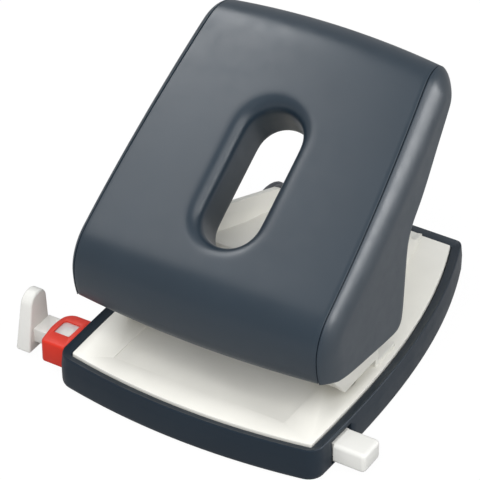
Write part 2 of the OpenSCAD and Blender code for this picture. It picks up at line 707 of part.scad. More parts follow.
module rail_end_cap() color([0.88, 0.88, 0.86]) {
    difference() {
        box([rail_right, rail_y - cap_w / 2, cap_low], [rail_right + cap_len, rail_y + cap_w / 2, cap_top]);
        for (y = [-1, 1]) translate([rail_right + cap_len, rail_y + y * cap_w / 2, cap_low - 1])
            rotate([0, 0, 45]) cube([1.4, 1.4, 30], center = true);
    }
}
module rail_spring() color([0.7, 0.71, 0.73]) {
    // leaf held by its two ends, its nose in a detent
    y0 = rail_y + rail_w / 2 + 1.2;
    box([spring_x - leaf_half, y0, rail_low + 0.6], [spring_x + leaf_half, y0 + 0.5, rail_top - 0.4]);
    translate([spring_x, y0 + 0.25, rail_low + 0.6]) cylinder(r = 1.25, h = rail_h - 1);
    for (x = [-leaf_half, leaf_half - 1])
        box([spring_x + x, y0, rail_low + 0.6], [spring_x + x + 1, y0 + 2, table_low]);
}

// ================= handle =================
lever_pts = [[axle_y - 5.6, axle_h + 1], under(profile[n_low + 3], shell_t + 0.7), on_flat(0, shell_t + 0.9),
    on_flat(36, shell_t + 2.2), on_flat(35, 12), [stop_y + 8.4, base_h + 47], [stop_y + 4, base_h + 38],
    [pin_y + 8, bar_z - 2], [pin_y, bar_z - 6], [axle_y, axle_h - 6.6]];
slot_at = 36.6;       // middle of the finger slot along the flat stretch
screw_x = 26;
panel_screw_s = [0, 74];
web_low = -4;
web_high = 80;
web_d = shell_t + 1.2;

// places children with +Y up the panel and +Z out of it
module on_panel(x, s, d) {
    translate([x, flat_0[0], flat_0[1]]) rotate([slope, 0, 0]) translate([0, s, -d]) children();
}
module lever_frame() color([0.72, 0.73, 0.75]) difference() {
    union() {
        both_sides() translate([lever_x, 0, 0]) rotate([90, 0, 90]) linear_extrude(lever_t) {
            polygon(lever_pts);
            translate([axle_y, axle_h]) circle(r = 6.6);
            translate([pin_y, bar_z]) circle(r = bar_r + 3);
        }
        // web under the panel
        on_panel(0, 0, web_d + lever_t) linear_extrude(lever_t) both_sides()
            polygon([[0, web_low], [lever_x + 0.8, web_low], [lever_x + 0.8, 34],
                [seam_high, web_high], [0, web_high]]);
    }
    // way through the web for the slot's skirt
    on_panel(0, slot_at, web_d + lever_t + 1) linear_extrude(lever_t + 2)
        square([2 * (slot_half + skirt_t + 1.7), slot_len + 2 * skirt_t + 3], center = true);
    along_x(-60, 60, axle_r + run_fit, axle_y, axle_h);
    along_x(-60, 60, bar_r - 1, pin_y, bar_z);
    for (x = [-screw_x, screw_x], s = panel_screw_s)
        on_panel(x, s, web_d + lever_t + 1) cylinder(r = screw_r, h = 6);
    for (p = cheek_screw_at) along_x(-60, 60, 1.3, p[0], p[1]);
}
module press_bar() color([0.75, 0.75, 0.77]) {
    along_x(-lever_x, lever_x, bar_r, pin_y, bar_z);
    along_x(-lever_x - lever_t, lever_x + lever_t, bar_r - 1, pin_y, bar_z);
}

across = 10;          // facets across the panel
function panel_grid(d) = [for (p = profile) let (w = seam(p[3]) - seam_gap)
    [for (j = [0:across]) let (x = w * (2 * j / across - 1), q = under(p, d - rise(x, w))) [x, q[0], q[1]]]];
module panel_shell() {
    shell(panel_grid(0), panel_grid(shell_t));
}
// the finger slot: an oblong of this end radius at this height over the panel's flat stretch
function oblong(r, z) = [for (q = [0, 1]) for (k = [0:slot_n]) let (a = 180 * (q + k / slot_n))
    [r * cos(a), (1 - 2 * q) * (slot_len / 2 - slot_half) + r * sin(a), z]];
slot_n = 12;
module slot_plug(rings) { on_panel(0, slot_at, 0) skin([for (r = rings) oblong(r[0], r[1])]); }
module handle_panel() color([0.33, 0.37, 0.42]) {
    difference() {
        union() {
            panel_shell();
            slot_plug([[slot_half - slot_draft + skirt_t, -skirt_d], [slot_half + skirt_t, 1.2]]);
            for (x = [-screw_x, screw_x], s = panel_screw_s)
                on_panel(x, s, web_d) cylinder(r = 3.2, h = web_d + 0.4);
        }
        // opening with a rounded rim
        slot_plug([[slot_half - slot_draft * 1.1, -skirt_d - 2], [slot_half, -0.8], [slot_half + 0.5, 0.7],
            [slot_half + 1.6, 1.9], [slot_half + 3.2, 2.5], [slot_half + 6, 3.2], [slot_half + 6, 8]]);
        for (x = [-screw_x, screw_x], s = panel_screw_s)
            on_panel(x, s, web_d + 1) cylinder(r = screw_r, h = 3.2);
    }
}
module panel_screws() color([0.6, 0.6, 0.62])
    for (x = [-screw_x, screw_x], s = panel_screw_s)
        on_panel(x, s, web_d + lever_t + 1.4) {
            cylinder(r = head_r, h = 1.4);
            cylinder(r = screw_r, h = 1.4 + lever_t + 2);
        }

// lower and rear outline of a cheek, one point for each entry of the profile
cheek_edge = [for (p = [[12.6, 20.3], [17, 19.7], [23, 19], [30, 18.2], [37, 17.5], [44, 16.7], [51, 16],
    [53.6, 16.4], [55.6, 18], [56.5, 21], [57.5, 30], [58.3, 39.3], [59.2, 46.8], [60.6, 51.2], [62.6, 54.6],
    [65.8, 57.7], [70.4, 61.6], [76.4, 68.2], [81.5, 74], [86, 78.6], [89, 81.5], [91.3, 83.8], [93.2, 85.6],
    [95, 87.3], [96.5, 88.8], [97.9, 90.1], [99, 91.2], [99.9, 92.1]]) [front + p[0], base_h + p[1]]];
round_n = 7;
low_c = [nose_y + low_r, base_h + nose_z];
// length along the panel, and depth under its surface, of a point [y, z]
function reach(q) = let (v = q - flat_0, s = v * flat_dir, c = q - roll_c) [s,
    s > top_len ? top_len + roll_r * (slope + atan2(c[0], c[1])) * PI / 180 : max(s, 0),
    s > top_len ? roll_r - norm(c) : s > 0 ? -v * flat_nrm :
        q[1] > nose_arc[1] ? nose_r - norm(q - nose_arc) : low_r - norm(q - low_c)];
// a cheek's surface over the point [y, z], this far in from its outer face
function on_cheek(q, in) = let (k = reach(q), w = seam(k[1]),
    u = min(max((k[2] - in) / (round_d - in), 0), 1))
    [w + (side(k[0]) - w - in) * sqrt(1 - pow(1 - u, 2)), q[0], q[1]];
function cheek_row(i, in) = let (p = profile[i], a = under(p, in), e = cheek_edge[i],
    straight = i < n_low || p[2] < -5, m = straight ? a + 0.93 * (e - a) : under(p, round_d))
    concat([for (j = [0:round_n]) on_cheek(a + (1 - cos(90 * j / round_n)) * (m - a), in)],
        [on_cheek(e, in)]);
module cheek() {
    shell([for (i = [0:len(profile) - 1]) cheek_row(i, 0)],
        [for (i = [0:len(profile) - 1]) cheek_row(i, shell_t)]);
    for (p = cheek_screw_at) along_x(lever_x + lever_t, handle_half - shell_t / 2 - 0.4, 3.4, p[0], p[1]);
}
cheek_screw_at = [[stop_y + 3.5, base_h + 44], on_flat(28, 10)];
module cheek_bored() difference() {
    cheek();
    for (p = cheek_screw_at) along_x(lever_x, handle_half - 1.9, 1.3, p[0], p[1]);
}
module cheek_right() color([0.38, 0.42, 0.47]) cheek_bored();
module cheek_left() color([0.38, 0.42, 0.47]) mirror([1, 0, 0]) cheek_bored();
module cheek_screws() color([0.6, 0.6, 0.62]) both_sides() for (p = cheek_screw_at) {
    along_x(lever_x - 1, lever_x, 2.4, p[0], p[1]);
    along_x(lever_x - eps, handle_half - 2, 1.3, p[0], p[1]);
}

base_body();
table_plate();
table_screws();
rubber_feet();
tray_hinge_pins();
chip_tray();
dies();
punch_frame();
guide_bushes();
frame_rivets();
frame_cover();
cover_screws();
pivot_axle();
axle_clips();
window_housing();
window_lens();
rail_spring();
lever_frame();
press_bar();
handle_panel();
cheek_left();
cheek_right();
panel_screws();
cheek_screws();
punch_pin_left();
punch_pin_right();
pin_collar_left();
pin_collar_right();
pin_spring_left();
pin_spring_right();
guide_rail();
scale_strip();
end_stop();
rail_end_cap();
lock_slider();
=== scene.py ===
"""Dress of a two-hole desk punch: a wide slotted lever handle over a cream table in a dark base.

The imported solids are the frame. The moulded shells, the table, the paper guide's ends, the red housing, the
sheet metal and the return springs get finished pieces in their place. Pins, screws, axle and feet keep their
solids and get a finish.
"""
import math

import bpy
from mathutils import Matrix, Vector


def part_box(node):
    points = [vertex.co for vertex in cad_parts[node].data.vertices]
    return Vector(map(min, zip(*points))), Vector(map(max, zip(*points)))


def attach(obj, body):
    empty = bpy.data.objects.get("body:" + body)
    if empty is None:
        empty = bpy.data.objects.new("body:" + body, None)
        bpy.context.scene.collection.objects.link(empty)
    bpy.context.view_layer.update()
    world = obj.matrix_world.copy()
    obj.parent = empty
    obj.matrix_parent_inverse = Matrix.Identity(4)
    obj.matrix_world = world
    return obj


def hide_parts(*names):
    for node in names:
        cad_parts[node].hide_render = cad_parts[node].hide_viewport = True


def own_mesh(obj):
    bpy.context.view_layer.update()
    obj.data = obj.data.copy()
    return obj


bl_info = {
    "name": "Desk punch",
    "version": (1, 0, 0),
    "blender": (4, 5, 0),
    "location": "View3D > Sidebar > Punch",
    "description": "Finishes the moulded pieces of a two-hole desk punch round its packed solids",
    "category": "Add Mesh",
}

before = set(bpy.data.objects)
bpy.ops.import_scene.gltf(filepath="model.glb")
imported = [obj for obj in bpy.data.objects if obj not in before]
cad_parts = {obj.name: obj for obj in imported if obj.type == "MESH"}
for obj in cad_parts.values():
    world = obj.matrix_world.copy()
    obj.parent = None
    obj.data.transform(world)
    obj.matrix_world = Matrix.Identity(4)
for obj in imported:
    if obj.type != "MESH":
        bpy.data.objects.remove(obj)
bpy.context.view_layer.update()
MM = 0.001
FRONT = -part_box("table_plate")[1].y           # the table's front corners
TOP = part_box("table_plate")[1].z              # the table's top


# ---- settings

def length(name, text, millimetres):
    """A length, given here in millimetres and kept in metres."""
    return bpy.props.FloatProperty(name=name, description=text, default=millimetres * MM, precision=5,
                                   subtype="DISTANCE", unit="LENGTH")


def turn(name, text, degrees):
    """An angle, given here in degrees."""
    return bpy.props.FloatProperty(name=name, description=text, default=math.radians(degrees),
                                   subtype="ANGLE", unit="ROTATION")


def tint(name, text, red, green, blue):
    """A colour, given here as it looks on a screen, from 0 to 255."""
    return bpy.props.FloatVectorProperty(
        name=name, description=text, subtype="COLOR", size=3, min=0, max=1,
        default=[screen(c / 255) for c in (red, green, blue)])


def screen(value):
    """Linear light of a screen value."""
    return value / 12.92 if value <= 0.04045 else ((value + 0.055) / 1.055) ** 2.4


class HandleSizes(bpy.types.PropertyGroup):
    """Outer form of the handle."""
    slope: turn("Slope", "Slope of the top panel", 33.6)
    flat: length("Flat length", "Flat stretch of the top panel", 88)
    nose_radius: length("Nose radius", "Rounding from the panel into the front", 18)
    nose_height: length("Nose height", "Height of the foremost line above the table", 34)
    lip_height: length("Lip height", "Height of the nose's lower edge above the table", 23)
    lip_radius: length("Lip radius", "Curve under the foremost line", 30)
    nose_back: length("Nose back", "Foremost line behind the table's front corners", 2.5)
    roll_radius: length("Roll radius", "Radius of the roll at the top", 13)
    roll_turn: turn("Roll turn", "How far the roll turns past the level", 56)
    half_width: length("Half width", "Half width at the nose", 52.9)
    draw_in: length("Draw-in", "How far the sides draw in towards the top", 6.2)
    seam_nose: length("Seam at the nose", "Half width between the seams at the nose", 49.2)
    seam_top: length("Seam at the top", "Half width between the seams at the top", 41.7)
    seam_gap: length("Seam gap", "Gap between panel and cheek", 0.3)
    crown: length("Crown", "Rise of the panel's middle over its seams", 2.5)
    wall: length("Wall", "Thickness of the shells", 2.2)
    round_depth: length("Rounding depth", "Depth of the cheek's rounding", 10)
    round_power: bpy.props.FloatProperty(
        name="Rounding form", description="2 is an ellipse, less is more like a chamfer", default=1.5)


class SlotSizes(bpy.types.PropertyGroup):
    """Finger slot through the top panel."""
    half: length("Half width", "Half width of the slot below its rim", 10.9)
    long: length("Length", "Length of the slot below its rim", 53.6)
    centre: length("Centre", "Middle of the slot along the flat stretch", 36.6)
    rim: length("Rim radius", "Rounding of the rim", 6)
    draft: length("Draft", "How much the slot narrows on each side", 0.3)
    depth: length("Depth", "Depth of the skirt below the panel", 16.6)


class BaseSizes(bpy.types.PropertyGroup):
    """Table and base."""
    width: length("Width", "Width of the table at its front corners", 98.4)
    bow: length("Bow", "Bow of the table's front edge", 4.9)
    swell: length("Swell", "Outward swell of the sides", 3.9)
    draw: length("Draw", "How far the sides draw in at the rear", 18.9)
    rim: length("Rim", "Width of the dark rim round the table", 4.5)
    corner: length("Corner", "Rounding of the upright corners", 6.5)
    plate: length("Plate", "Thickness of the table", 1.6)
    recess_half: length("Recess", "Half width of the sunken middle of the table", 35.2)
    recess_depth: length("Recess depth", "Depth of the sunken middle", 0.3)


class Tints(bpy.types.PropertyGroup):
    """Colours of the moulded pieces."""
    handle: tint("Handle", "Grey-blue of the top panel and cheeks", 31, 43, 53)
    base: tint("Base", "Darker grey-blue of the base", 25, 36, 46)
    tray: tint("Tray", "Dark grey of the chip tray", 58, 64, 70)
    cream: tint("Cream", "Table, cover and painted frame", 227, 225, 217)
    white: tint("White", "Paper guide and its end pieces", 218, 217, 212)
    red: tint("Red", "Housing of the format window", 200, 48, 32)
    dark: tint("Dark", "Lock tab", 62, 64, 70)


# ---- modelling by hand

def alone(piece):
    """Selects this piece only and makes it active."""
    bpy.ops.object.select_all(action="DESELECT")
    piece.select_set(True)
    bpy.context.view_layer.objects.active = piece


def mode(name):
    """Goes into object or edit mode."""
    bpy.ops.object.mode_set(mode=name)


def added(name):
    """The primitive that was just added, under its own name."""
    piece = bpy.context.object
    piece.name = name
    piece.data.name = name
    return piece


def pick(piece, kind, test):
    """Selects what passes a test, by vertex, edge or face, and goes into edit mode."""
    mesh = piece.data
    groups = {"VERT": mesh.vertices, "EDGE": mesh.edges, "FACE": mesh.polygons}
    for group in groups.values():
        group.foreach_set("select", [False] * len(group))
    for item in groups[kind]:
        item.select = bool(test(item))
    alone(piece)
    bpy.context.tool_settings.mesh_select_mode = [kind == k for k in groups]
    mode("EDIT")


def number(piece):
    """Numbers the vertices, so that a drawn-out ring knows its points."""
    marks = piece.data.attributes.new("mark", "INT", "POINT")
    marks.data.foreach_set("value", range(len(piece.data.vertices)))


def draw_out(piece, ring):
    """Extrudes the selected ring and lays it on new points, by the numbers of its vertices."""
    bpy.ops.mesh.extrude_region()
    mode("OBJECT")
    marks = piece.data.attributes["mark"].data
    for v in piece.data.vertices:
        if v.select:
            v.co = ring[marks[v.index].value]
    mode("EDIT")


def face_out(piece, merge=True):
    """Merges what coincides and turns all faces outwards."""
    pick(piece, "VERT", lambda v: True)
    if merge:
        bpy.ops.mesh.remove_doubles(threshold=1e-7)
    bpy.ops.mesh.normals_make_consistent(inside=False)
    mode("OBJECT")


def loft(name, rings, round_trip=False):
    """Skin through rings with equal numbers of points, capped, or closed on itself as a tube's section is."""
    bpy.ops.mesh.primitive_circle_add(
        vertices=len(rings[0]), radius=1, fill_type="NOTHING" if round_trip else "NGON")
    piece = added(name)
    number(piece)
    for v, point in zip(piece.data.vertices, rings[0]):
        v.co = point
    pick(piece, "VERT", lambda v: True)
    for ring in rings[1:] + (rings[:1] if round_trip else []):
        draw_out(piece, ring)
    if not round_trip:
        bpy.ops.mesh.edge_face_add()
    mode("OBJECT")
    face_out(piece)
    return piece


def steps(a, b, count):
    """Even steps from a up to, and without, b."""
    return [a + (b - a) * k / count for k in range(count)]


def raised(outline, z):
    """Plan outline at a height."""
    return [Vector((x, y, z)) for x, y in outline]


def lathe(name, profile, centre, count=48, round_trip=False):
    """Turned part: profile is a list of (radius, height) round an upright axis."""
    turns = steps(0, 2 * math.pi, count)
    return loft(name, [[centre + Vector((r * math.cos(a), r * math.sin(a), z)) for a in turns]
                       for r, z in profile], round_trip)


def screw_boss(bore, radius, low, high, centre=Vector((0, 0, 0)), count=32):
    """Upright boss with its bore's ring on both ends. All but the centre is in millimetres."""
    profile = [(bore, low), (radius, low), (radius, high), (bore, high)]
    return lathe("boss", [(r * MM, z * MM) for r, z in profile], centre, count)


def block(name, low, high):
    """Box between two corners."""
    low, high = Vector(low), Vector(high)
    bpy.ops.mesh.primitive_cube_add(size=1, location=(low + high) / 2, scale=high - low)
    bpy.ops.object.transform_apply(location=True, rotation=True, scale=True)
    return added(name)


def bar_x(name, x0, x1, radius, y, z, count=48):
    """Round bar along X."""
    bpy.ops.mesh.primitive_cylinder_add(vertices=count, radius=radius, depth=x1 - x0,
                                        location=((x0 + x1) / 2, y, z), rotation=(0, math.pi / 2, 0))
    bpy.ops.object.transform_apply(location=True, rotation=True, scale=True)
    return added(name)


def joined(pieces):
    """Joins pieces into the first one."""
    bpy.ops.object.select_all(action="DESELECT")
    for piece in pieces:
        piece.select_set(True)
    bpy.context.view_layer.objects.active = pieces[0]
    bpy.ops.object.join()
    return pieces[0]


def modify(piece, kind, **settings):
    """Adds a modifier and applies it."""
    alone(piece)
    modifier = piece.modifiers.new(kind.title(), kind)
    for key, value in settings.items():
        setattr(modifier, key, value)
    bpy.ops.object.modifier_apply(modifier=modifier.name)


def cut(piece, cutter):
    """Takes the cutter out of the piece."""
    modify(piece, "BOOLEAN", object=cutter, operation="DIFFERENCE", solver="EXACT")
    bpy.data.objects.remove(cutter)


def soften(piece, width, segments=2, angle=35):
    """Rounds the sharp edges."""
    modify(piece, "BEVEL", width=width, segments=segments, limit_method="ANGLE",
           angle_limit=math.radians(angle), use_clamp_overlap=True, miter_outer="MITER_ARC")


def shade(piece, angle=40):
    """Smooth shading, except over edges sharper than the angle."""
    alone(piece)
    bpy.ops.object.shade_smooth_by_angle(angle=math.radians(angle))


def copy_of(solid, name):
    """Merged copy of a solid, with flat stretches freed of inner edges."""
    piece = bpy.data.objects.new(name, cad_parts[solid].data.copy())
    bpy.context.scene.collection.objects.link(piece)
    piece.data.materials.clear()
    pick(piece, "VERT", lambda v: True)
    bpy.ops.mesh.remove_doubles(threshold=1e-6)
    bpy.ops.mesh.dissolve_limited(angle_limit=math.radians(0.4), use_dissolve_boundaries=False)
    mode("OBJECT")
    return piece


def finish_piece(piece, body, slot, material, *solids):
    """Gives a piece its finish, its body and the solids that it stands for."""
    if not piece.data.polygons:
        raise RuntimeError(f"{piece.name} came out without faces")
    piece.data.materials.clear()
    piece.data.materials.append(material)
    if "mark" in piece.data.attributes:
        piece.data.attributes.remove(piece.data.attributes["mark"])
    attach(piece, body)
    if solids:
        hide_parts(*solids)


# ---- finishes

# places of a Mix node's sockets for colours
MIX_FACTOR, MIX_FIRST, MIX_SECOND, MIX_RESULT = 0, 6, 7, 2


def node(tree, kind, wires=(), **settings):
    """Adds a node. Settings go to inputs of that name, or to itself; wires give inputs links or values."""
    made = tree.nodes.new(kind)
    for key, value in settings.items():
        socket = key.replace("_", " ")
        if socket in made.inputs:
            made.inputs[socket].default_value = value
        else:
            setattr(made, key, value)
    for target, source in dict(wires).items():
        if isinstance(source, bpy.types.NodeSocket):
            tree.links.new(source, made.inputs[target])
        else:
            made.inputs[target].default_value = source
    return made


class Finish:
    """A node material under construction."""

    def __init__(self, name, colour, roughness, **sockets):
        self.material = bpy.data.materials.new(name)
        self.material.use_nodes = True
        self.tree = self.material.node_tree
        self.shader = self.tree.nodes["Principled BSDF"]
        sockets = {"Base_Color": (*colour, 1), "Roughness": roughness, **sockets}
        for socket, value in sockets.items():
            self.shader.inputs[socket.replace("_", " ")].default_value = value
        self.place = self.add("ShaderNodeTexCoord").outputs["Object"]

    def add(self, kind, wires=(), **settings):
        return node(self.tree, kind, wires, **settings)

    def noise(self, scale, detail=2.0, stretch=(1, 1, 1)):
        """Noise in the piece's own metres, stretched along an axis for brushed finishes."""
        where = self.add("ShaderNodeMapping", {"Vector": self.place}, Scale=stretch).outputs["Vector"]
        return self.add("ShaderNodeTexNoise", {"Vector": where}, Scale=scale, Detail=detail).outputs["Fac"]

    def spread(self, source, low, high):
        """Maps a noise to a range of numbers."""
        return self.add("ShaderNodeMapRange", {"Value": source}, From_Min=0.3, From_Max=0.7, To_Min=low,
                        To_Max=high).outputs["Result"]

    def mixed(self, factor, first, second):
        """Base colour mixed of two colours or results."""
        mix = self.add("ShaderNodeMix", {MIX_FACTOR: factor, MIX_FIRST: first, MIX_SECOND: second},
                       data_type="RGBA").outputs[MIX_RESULT]
        self.tree.links.new(mix, self.shader.inputs["Base Color"])
        return mix

    def vary(self, colour, source, amount):
        """Base colour a little darker and lighter along a noise."""
        darker, lighter = ((*[min(c * share, 1) for c in colour], 1) for share in (1 - amount, 1 + amount))
        return self.mixed(self.spread(source, 0, 1), darker, lighter)

    def rough(self, source, low, high):
        """Roughness between two numbers along a noise."""
        self.tree.links.new(self.spread(source, low, high), self.shader.inputs["Roughness"])

    def bump(self, source, strength, depth):
        """Fine relief, its depth in metres."""
        relief = self.add("ShaderNodeBump", {"Height": source}, Strength=strength, Distance=depth)
        self.tree.links.new(relief.outputs["Normal"], self.shader.inputs["Normal"])


def moulded(name, colour, roughness, grain=0.05, level=0.4):
    """Moulded plastic: fine spark-eroded grain, and a faint unevenness of tone and gloss."""
    made = Finish(name, colour, roughness, Specular_IOR_Level=level)
    made.vary(colour, made.noise(45, 3), 0.035)
    made.rough(made.noise(160, 3), roughness - 0.04, roughness + 0.05)
    made.bump(made.noise(5200, 2), grain, 0.00004)
    return made.material


def brushed(name, colour, roughness, stretch=(8, 1, 1)):
    """Metal with fine drawn lines along its length."""
    made = Finish(name, colour, roughness, Metallic=1.0)
    lines = made.noise(900, 4, [1 / s for s in stretch])
    made.vary(colour, lines, 0.08)
    made.rough(lines, roughness - 0.07, roughness + 0.1)
    made.bump(lines, 0.08, 0.00003)
    return made.material


def painted(name, colour):
    """Powder-coated steel: slight orange peel."""
    made = Finish(name, colour, 0.4, Specular_IOR_Level=0.45)
    made.vary(colour, made.noise(60, 3), 0.02)
    made.rough(made.noise(300, 2), 0.34, 0.46)
    made.bump(made.noise(1500, 2), 0.12, 0.00006)
    return made.material


def rubbery(name, colour):
    """Matt rubber."""
    made = Finish(name, colour, 0.85, Specular_IOR_Level=0.3)
    made.vary(colour, made.noise(400, 4), 0.25)
    made.bump(made.noise(2600, 3), 0.3, 0.00008)
    return made.material


def window_clear(name, colour):
    """Clear plastic with the least haze."""
    made = Finish(name, colour, 0.04, Transmission_Weight=1.0, IOR=1.46)
    made.rough(made.noise(220, 3), 0.02, 0.06)
    return made.material


# ticks of the paper strip: pitch, width and reach in from its edge, in millimetres
TICKS = [(5, 0.34, 3.2), (1, 0.2, 1.7)]
TICK_INK = (0.05, 0.05, 0.055, 1)


def ruled(name, colour):
    """Paper strip with plain ticks, a long one every 5 mm and a short one every millimetre."""
    low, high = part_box("scale_strip")
    made = Finish(name, colour, 0.55, Specular_IOR_Level=0.3)
    base = made.vary(colour, made.noise(200, 3), 0.03)
    axes = made.add("ShaderNodeSeparateXYZ", {"Vector": made.place}).outputs

    def sums(operation, value, other=0):
        return made.add("ShaderNodeMath", {0: value, 1: other}, operation=operation).outputs[0]

    def ticks(pitch, width, reach):
        share = sums("FRACT", sums("DIVIDE", sums("SUBTRACT", axes["X"], low.x), pitch * MM))
        return sums("MULTIPLY", sums("LESS_THAN", share, width / pitch),
                    sums("GREATER_THAN", axes["Y"], high.y - reach * MM))

    made.mixed(sums("MAXIMUM", *(ticks(*row) for row in TICKS)), base, TICK_INK)
    return made.material


# maker, colour or the name of a tint, and the maker's further settings
FINISHES = {
    "handle_satin": (moulded, "handle", 0.34, 0.05, 0.56),
    "base_satin": (moulded, "base", 0.42, 0.06, 0.25),
    "tray_matt": (moulded, "tray", 0.6, 0.12, 0.3),
    "cream_satin": (moulded, "cream", 0.42, 0.05, 0.4),
    "white_satin": (moulded, "white", 0.4, 0.04, 0.4),
    "red_gloss": (moulded, "red", 0.42, 0.03, 0.25),
    "dark_satin": (moulded, "dark", 0.45, 0.06, 0.4),
    "cream_paint": (painted, "cream"),
    "bright_steel": (brushed, (0.62, 0.62, 0.64), 0.28),
    "spring_wire": (brushed, (0.5, 0.51, 0.53), 0.3, (1, 1, 3)),
    "ground_steel": (brushed, (0.56, 0.57, 0.58), 0.22, (1, 1, 6)),
    "dark_steel": (brushed, (0.2, 0.2, 0.21), 0.4, (1, 1, 1)),
    "bush_brass": (brushed, (0.72, 0.5, 0.2), 0.32, (1, 1, 1)),
    "foot_rubber": (rubbery, (0.02, 0.02, 0.022)),
    "clear_window": (window_clear, (0.97, 0.98, 0.98)),
    "ruled_strip": (ruled, tuple(screen(c) for c in (0.93, 0.91, 0.85))),
}


def finish(name):
    """The material of that name, made the first time that it is asked for."""
    if name not in bpy.data.materials:
        maker, colour, *settings = FINISHES[name]
        if isinstance(colour, str):
            colour = getattr(bpy.context.scene.punch_tints, colour)
        maker(name, colour, *settings)
    return bpy.data.materials[name]


# ---- forms shared by pieces

class HandleForm:
    """The handle's outer surface: a side profile carried across its width."""
    seam_power = 1.7        # how late the seams draw in along the panel
    side_power = 2.1        # and how late the sides do

    def __init__(self):
        h = bpy.context.scene.punch_handle
        self.h = h
        self.nose_y = FRONT + h.nose_back
        self.nose_z = TOP + h.nose_height
        self.nose_centre = Vector((self.nose_y + h.nose_radius, self.nose_z))
        self.lip_centre = Vector((self.nose_y + h.lip_radius, self.nose_z))
        self.lip_turn = math.asin((h.nose_height - h.lip_height) / h.lip_radius)
        self.along = Vector((math.cos(h.slope), math.sin(h.slope)))
        self.out = Vector((-math.sin(h.slope), math.cos(h.slope)))
        self.flat_start = self.nose_centre + h.nose_radius * self.out
        self.roll_centre = self.flat_start + h.flat * self.along - h.roll_radius * self.out
        self.nose_len = h.nose_radius * (math.pi / 2 - h.slope)
        self.lip_len = h.lip_radius * self.lip_turn
        self.roll_len = h.roll_radius * (h.slope + h.roll_turn)
        self.panel_len = h.flat + self.roll_len

    def edge(self, s):
        """Profile at this length, 0 where the flat stretch starts: point (y, z), outward normal, angle."""
        h = self.h
        if s < -self.nose_len:
            angle = math.pi / 2 + (-self.nose_len - s) / h.lip_radius
            centre, radius = self.lip_centre, h.lip_radius
        elif s < 0:
            angle = h.slope - s / h.nose_radius
            centre, radius = self.nose_centre, h.nose_radius
        elif s <= h.flat:
            return self.flat_start + s * self.along, self.out, h.slope
        else:
            angle = h.slope - (s - h.flat) / h.roll_radius
            centre, radius = self.roll_centre, h.roll_radius
        normal = Vector((-math.sin(angle), math.cos(angle)))
        return centre + radius * normal, normal, angle

    def seam(self, s):
        """Half width between the seams at this length."""
        h = self.h
        return h.seam_nose - (h.seam_nose - h.seam_top) * (max(s, 0) / self.panel_len) ** self.seam_power

    def side(self, s):
        """Half width of the handle at this length."""
        share = min(max(s / self.panel_len, 0), 1)
        return self.h.half_width - self.h.draw_in * share ** self.side_power

    def panel(self, x, s, depth=0.0):
        """Point of the top panel at this distance across and along, at a depth under its surface."""
        point, normal, _ = self.edge(s)
        rise = self.h.crown * (1 - (x / (self.seam(s) - self.h.seam_gap)) ** 2)
        y, z = point + (rise - depth) * normal
        return Vector((x, y, z))

    def over_flat(self, x, s, height):
        """Point this far over the plane of the flat stretch."""
        y, z = self.flat_start + s * self.along + height * self.out
        return Vector((x, y, z))

    def cheek(self, q):
        """Point of the right cheek's surface over the side-view point q."""
        h = self.h
        v = q - self.flat_start
        s = v.dot(self.along)
        if s > h.flat:
            c = q - self.roll_centre
            reach = h.flat + h.roll_radius * (h.slope + math.atan2(c[0], c[1]))
            depth = h.roll_radius - c.length
        elif s > 0:
            reach, depth = s, -v.dot(self.out)
        elif q[1] > self.nose_z:
            reach, depth = 0, h.nose_radius - (q - self.nose_centre).length
        else:
            reach, depth = 0, h.lip_radius - (q - self.lip_centre).length
        u = min(max(depth / h.round_depth, 0), 1)
        seam = self.seam(reach)
        share = (1 - (1 - u) ** h.round_power) ** (1 / h.round_power)
        return Vector((seam + (self.side(s) - seam) * share, q[0], q[1]))


class TableForm:
    """Outline of the table, offset outwards with rounded corners."""
    steps = 28
    corner_steps = 6
    rear_share = 0.5        # roundness of the rear corners against the front ones
    draw_power = 2.75       # how late the sides draw in towards the rear

    def __init__(self):
        self.b = bpy.context.scene.punch_base
        self.depth = -2 * FRONT

    def side(self, t):
        """Point and outward normal of the right side, from 0 at the front to 1 at the rear."""
        b, power = self.b, self.draw_power
        point = Vector((b.width / 2 + b.swell * t - b.draw * t ** power, FRONT + self.depth * t))
        return point, Vector((self.depth, power * b.draw * t ** (power - 1) - b.swell)).normalized()

    def front(self, x):
        """Point and outward normal of the front edge."""
        point = Vector((x, FRONT - self.b.bow * (1 - (2 * x / self.b.width) ** 2)))
        return point, Vector((8 * self.b.bow * x / self.b.width ** 2, -1)).normalized()

    def ring(self, out, z, corner):
        """Ring of points this far outside the table's edge."""
        def corner_arc(point, a, b, share=1.0):
            radius = corner * share
            centre = point - (radius - out) * (a + b) / (1 + a.dot(b))
            first, last = (math.atan2(v[1], v[0]) for v in (a, b))
            angles = [first + (last - first) * k / self.corner_steps for k in range(self.corner_steps + 1)]
            return [centre + radius * Vector((math.cos(w), math.sin(w))) for w in angles]

        half = self.steps // 2
        front = [self.front(self.b.width * i / self.steps) for i in range(1, half)]
        side = [self.side(i / self.steps) for i in range(self.steps + 1)]
        right = [point + out * normal for point, normal in front]
        right += corner_arc(side[0][0], self.front(self.b.width / 2)[1], side[0][1])
        right += [point + out * normal for point, normal in side[1:-1]]
        right += corner_arc(*side[-1], Vector((0, 1)), self.rear_share)
        middle = self.front(0)[0] - Vector((0, out))
        return raised([middle] + right + [Vector((-p[0], p[1])) for p in reversed(right)], z)


# ---- handle

SLOT_COLUMNS, EDGE_COLUMNS = 10, 7
SLOT_SHARE = 0.46                 # half width of the patch round the slot, as a share of the panel
PATCH_MARGIN = 4.5 * MM           # from the rim to the patch's last row
SKIN_RINGS = (1.6 * MM, 0.3 * MM)       # rings on the panel's surface, outside the rim
RIM_STEPS = 8
SKIRT_SHARES = (0.35, 0.7, 1.0)
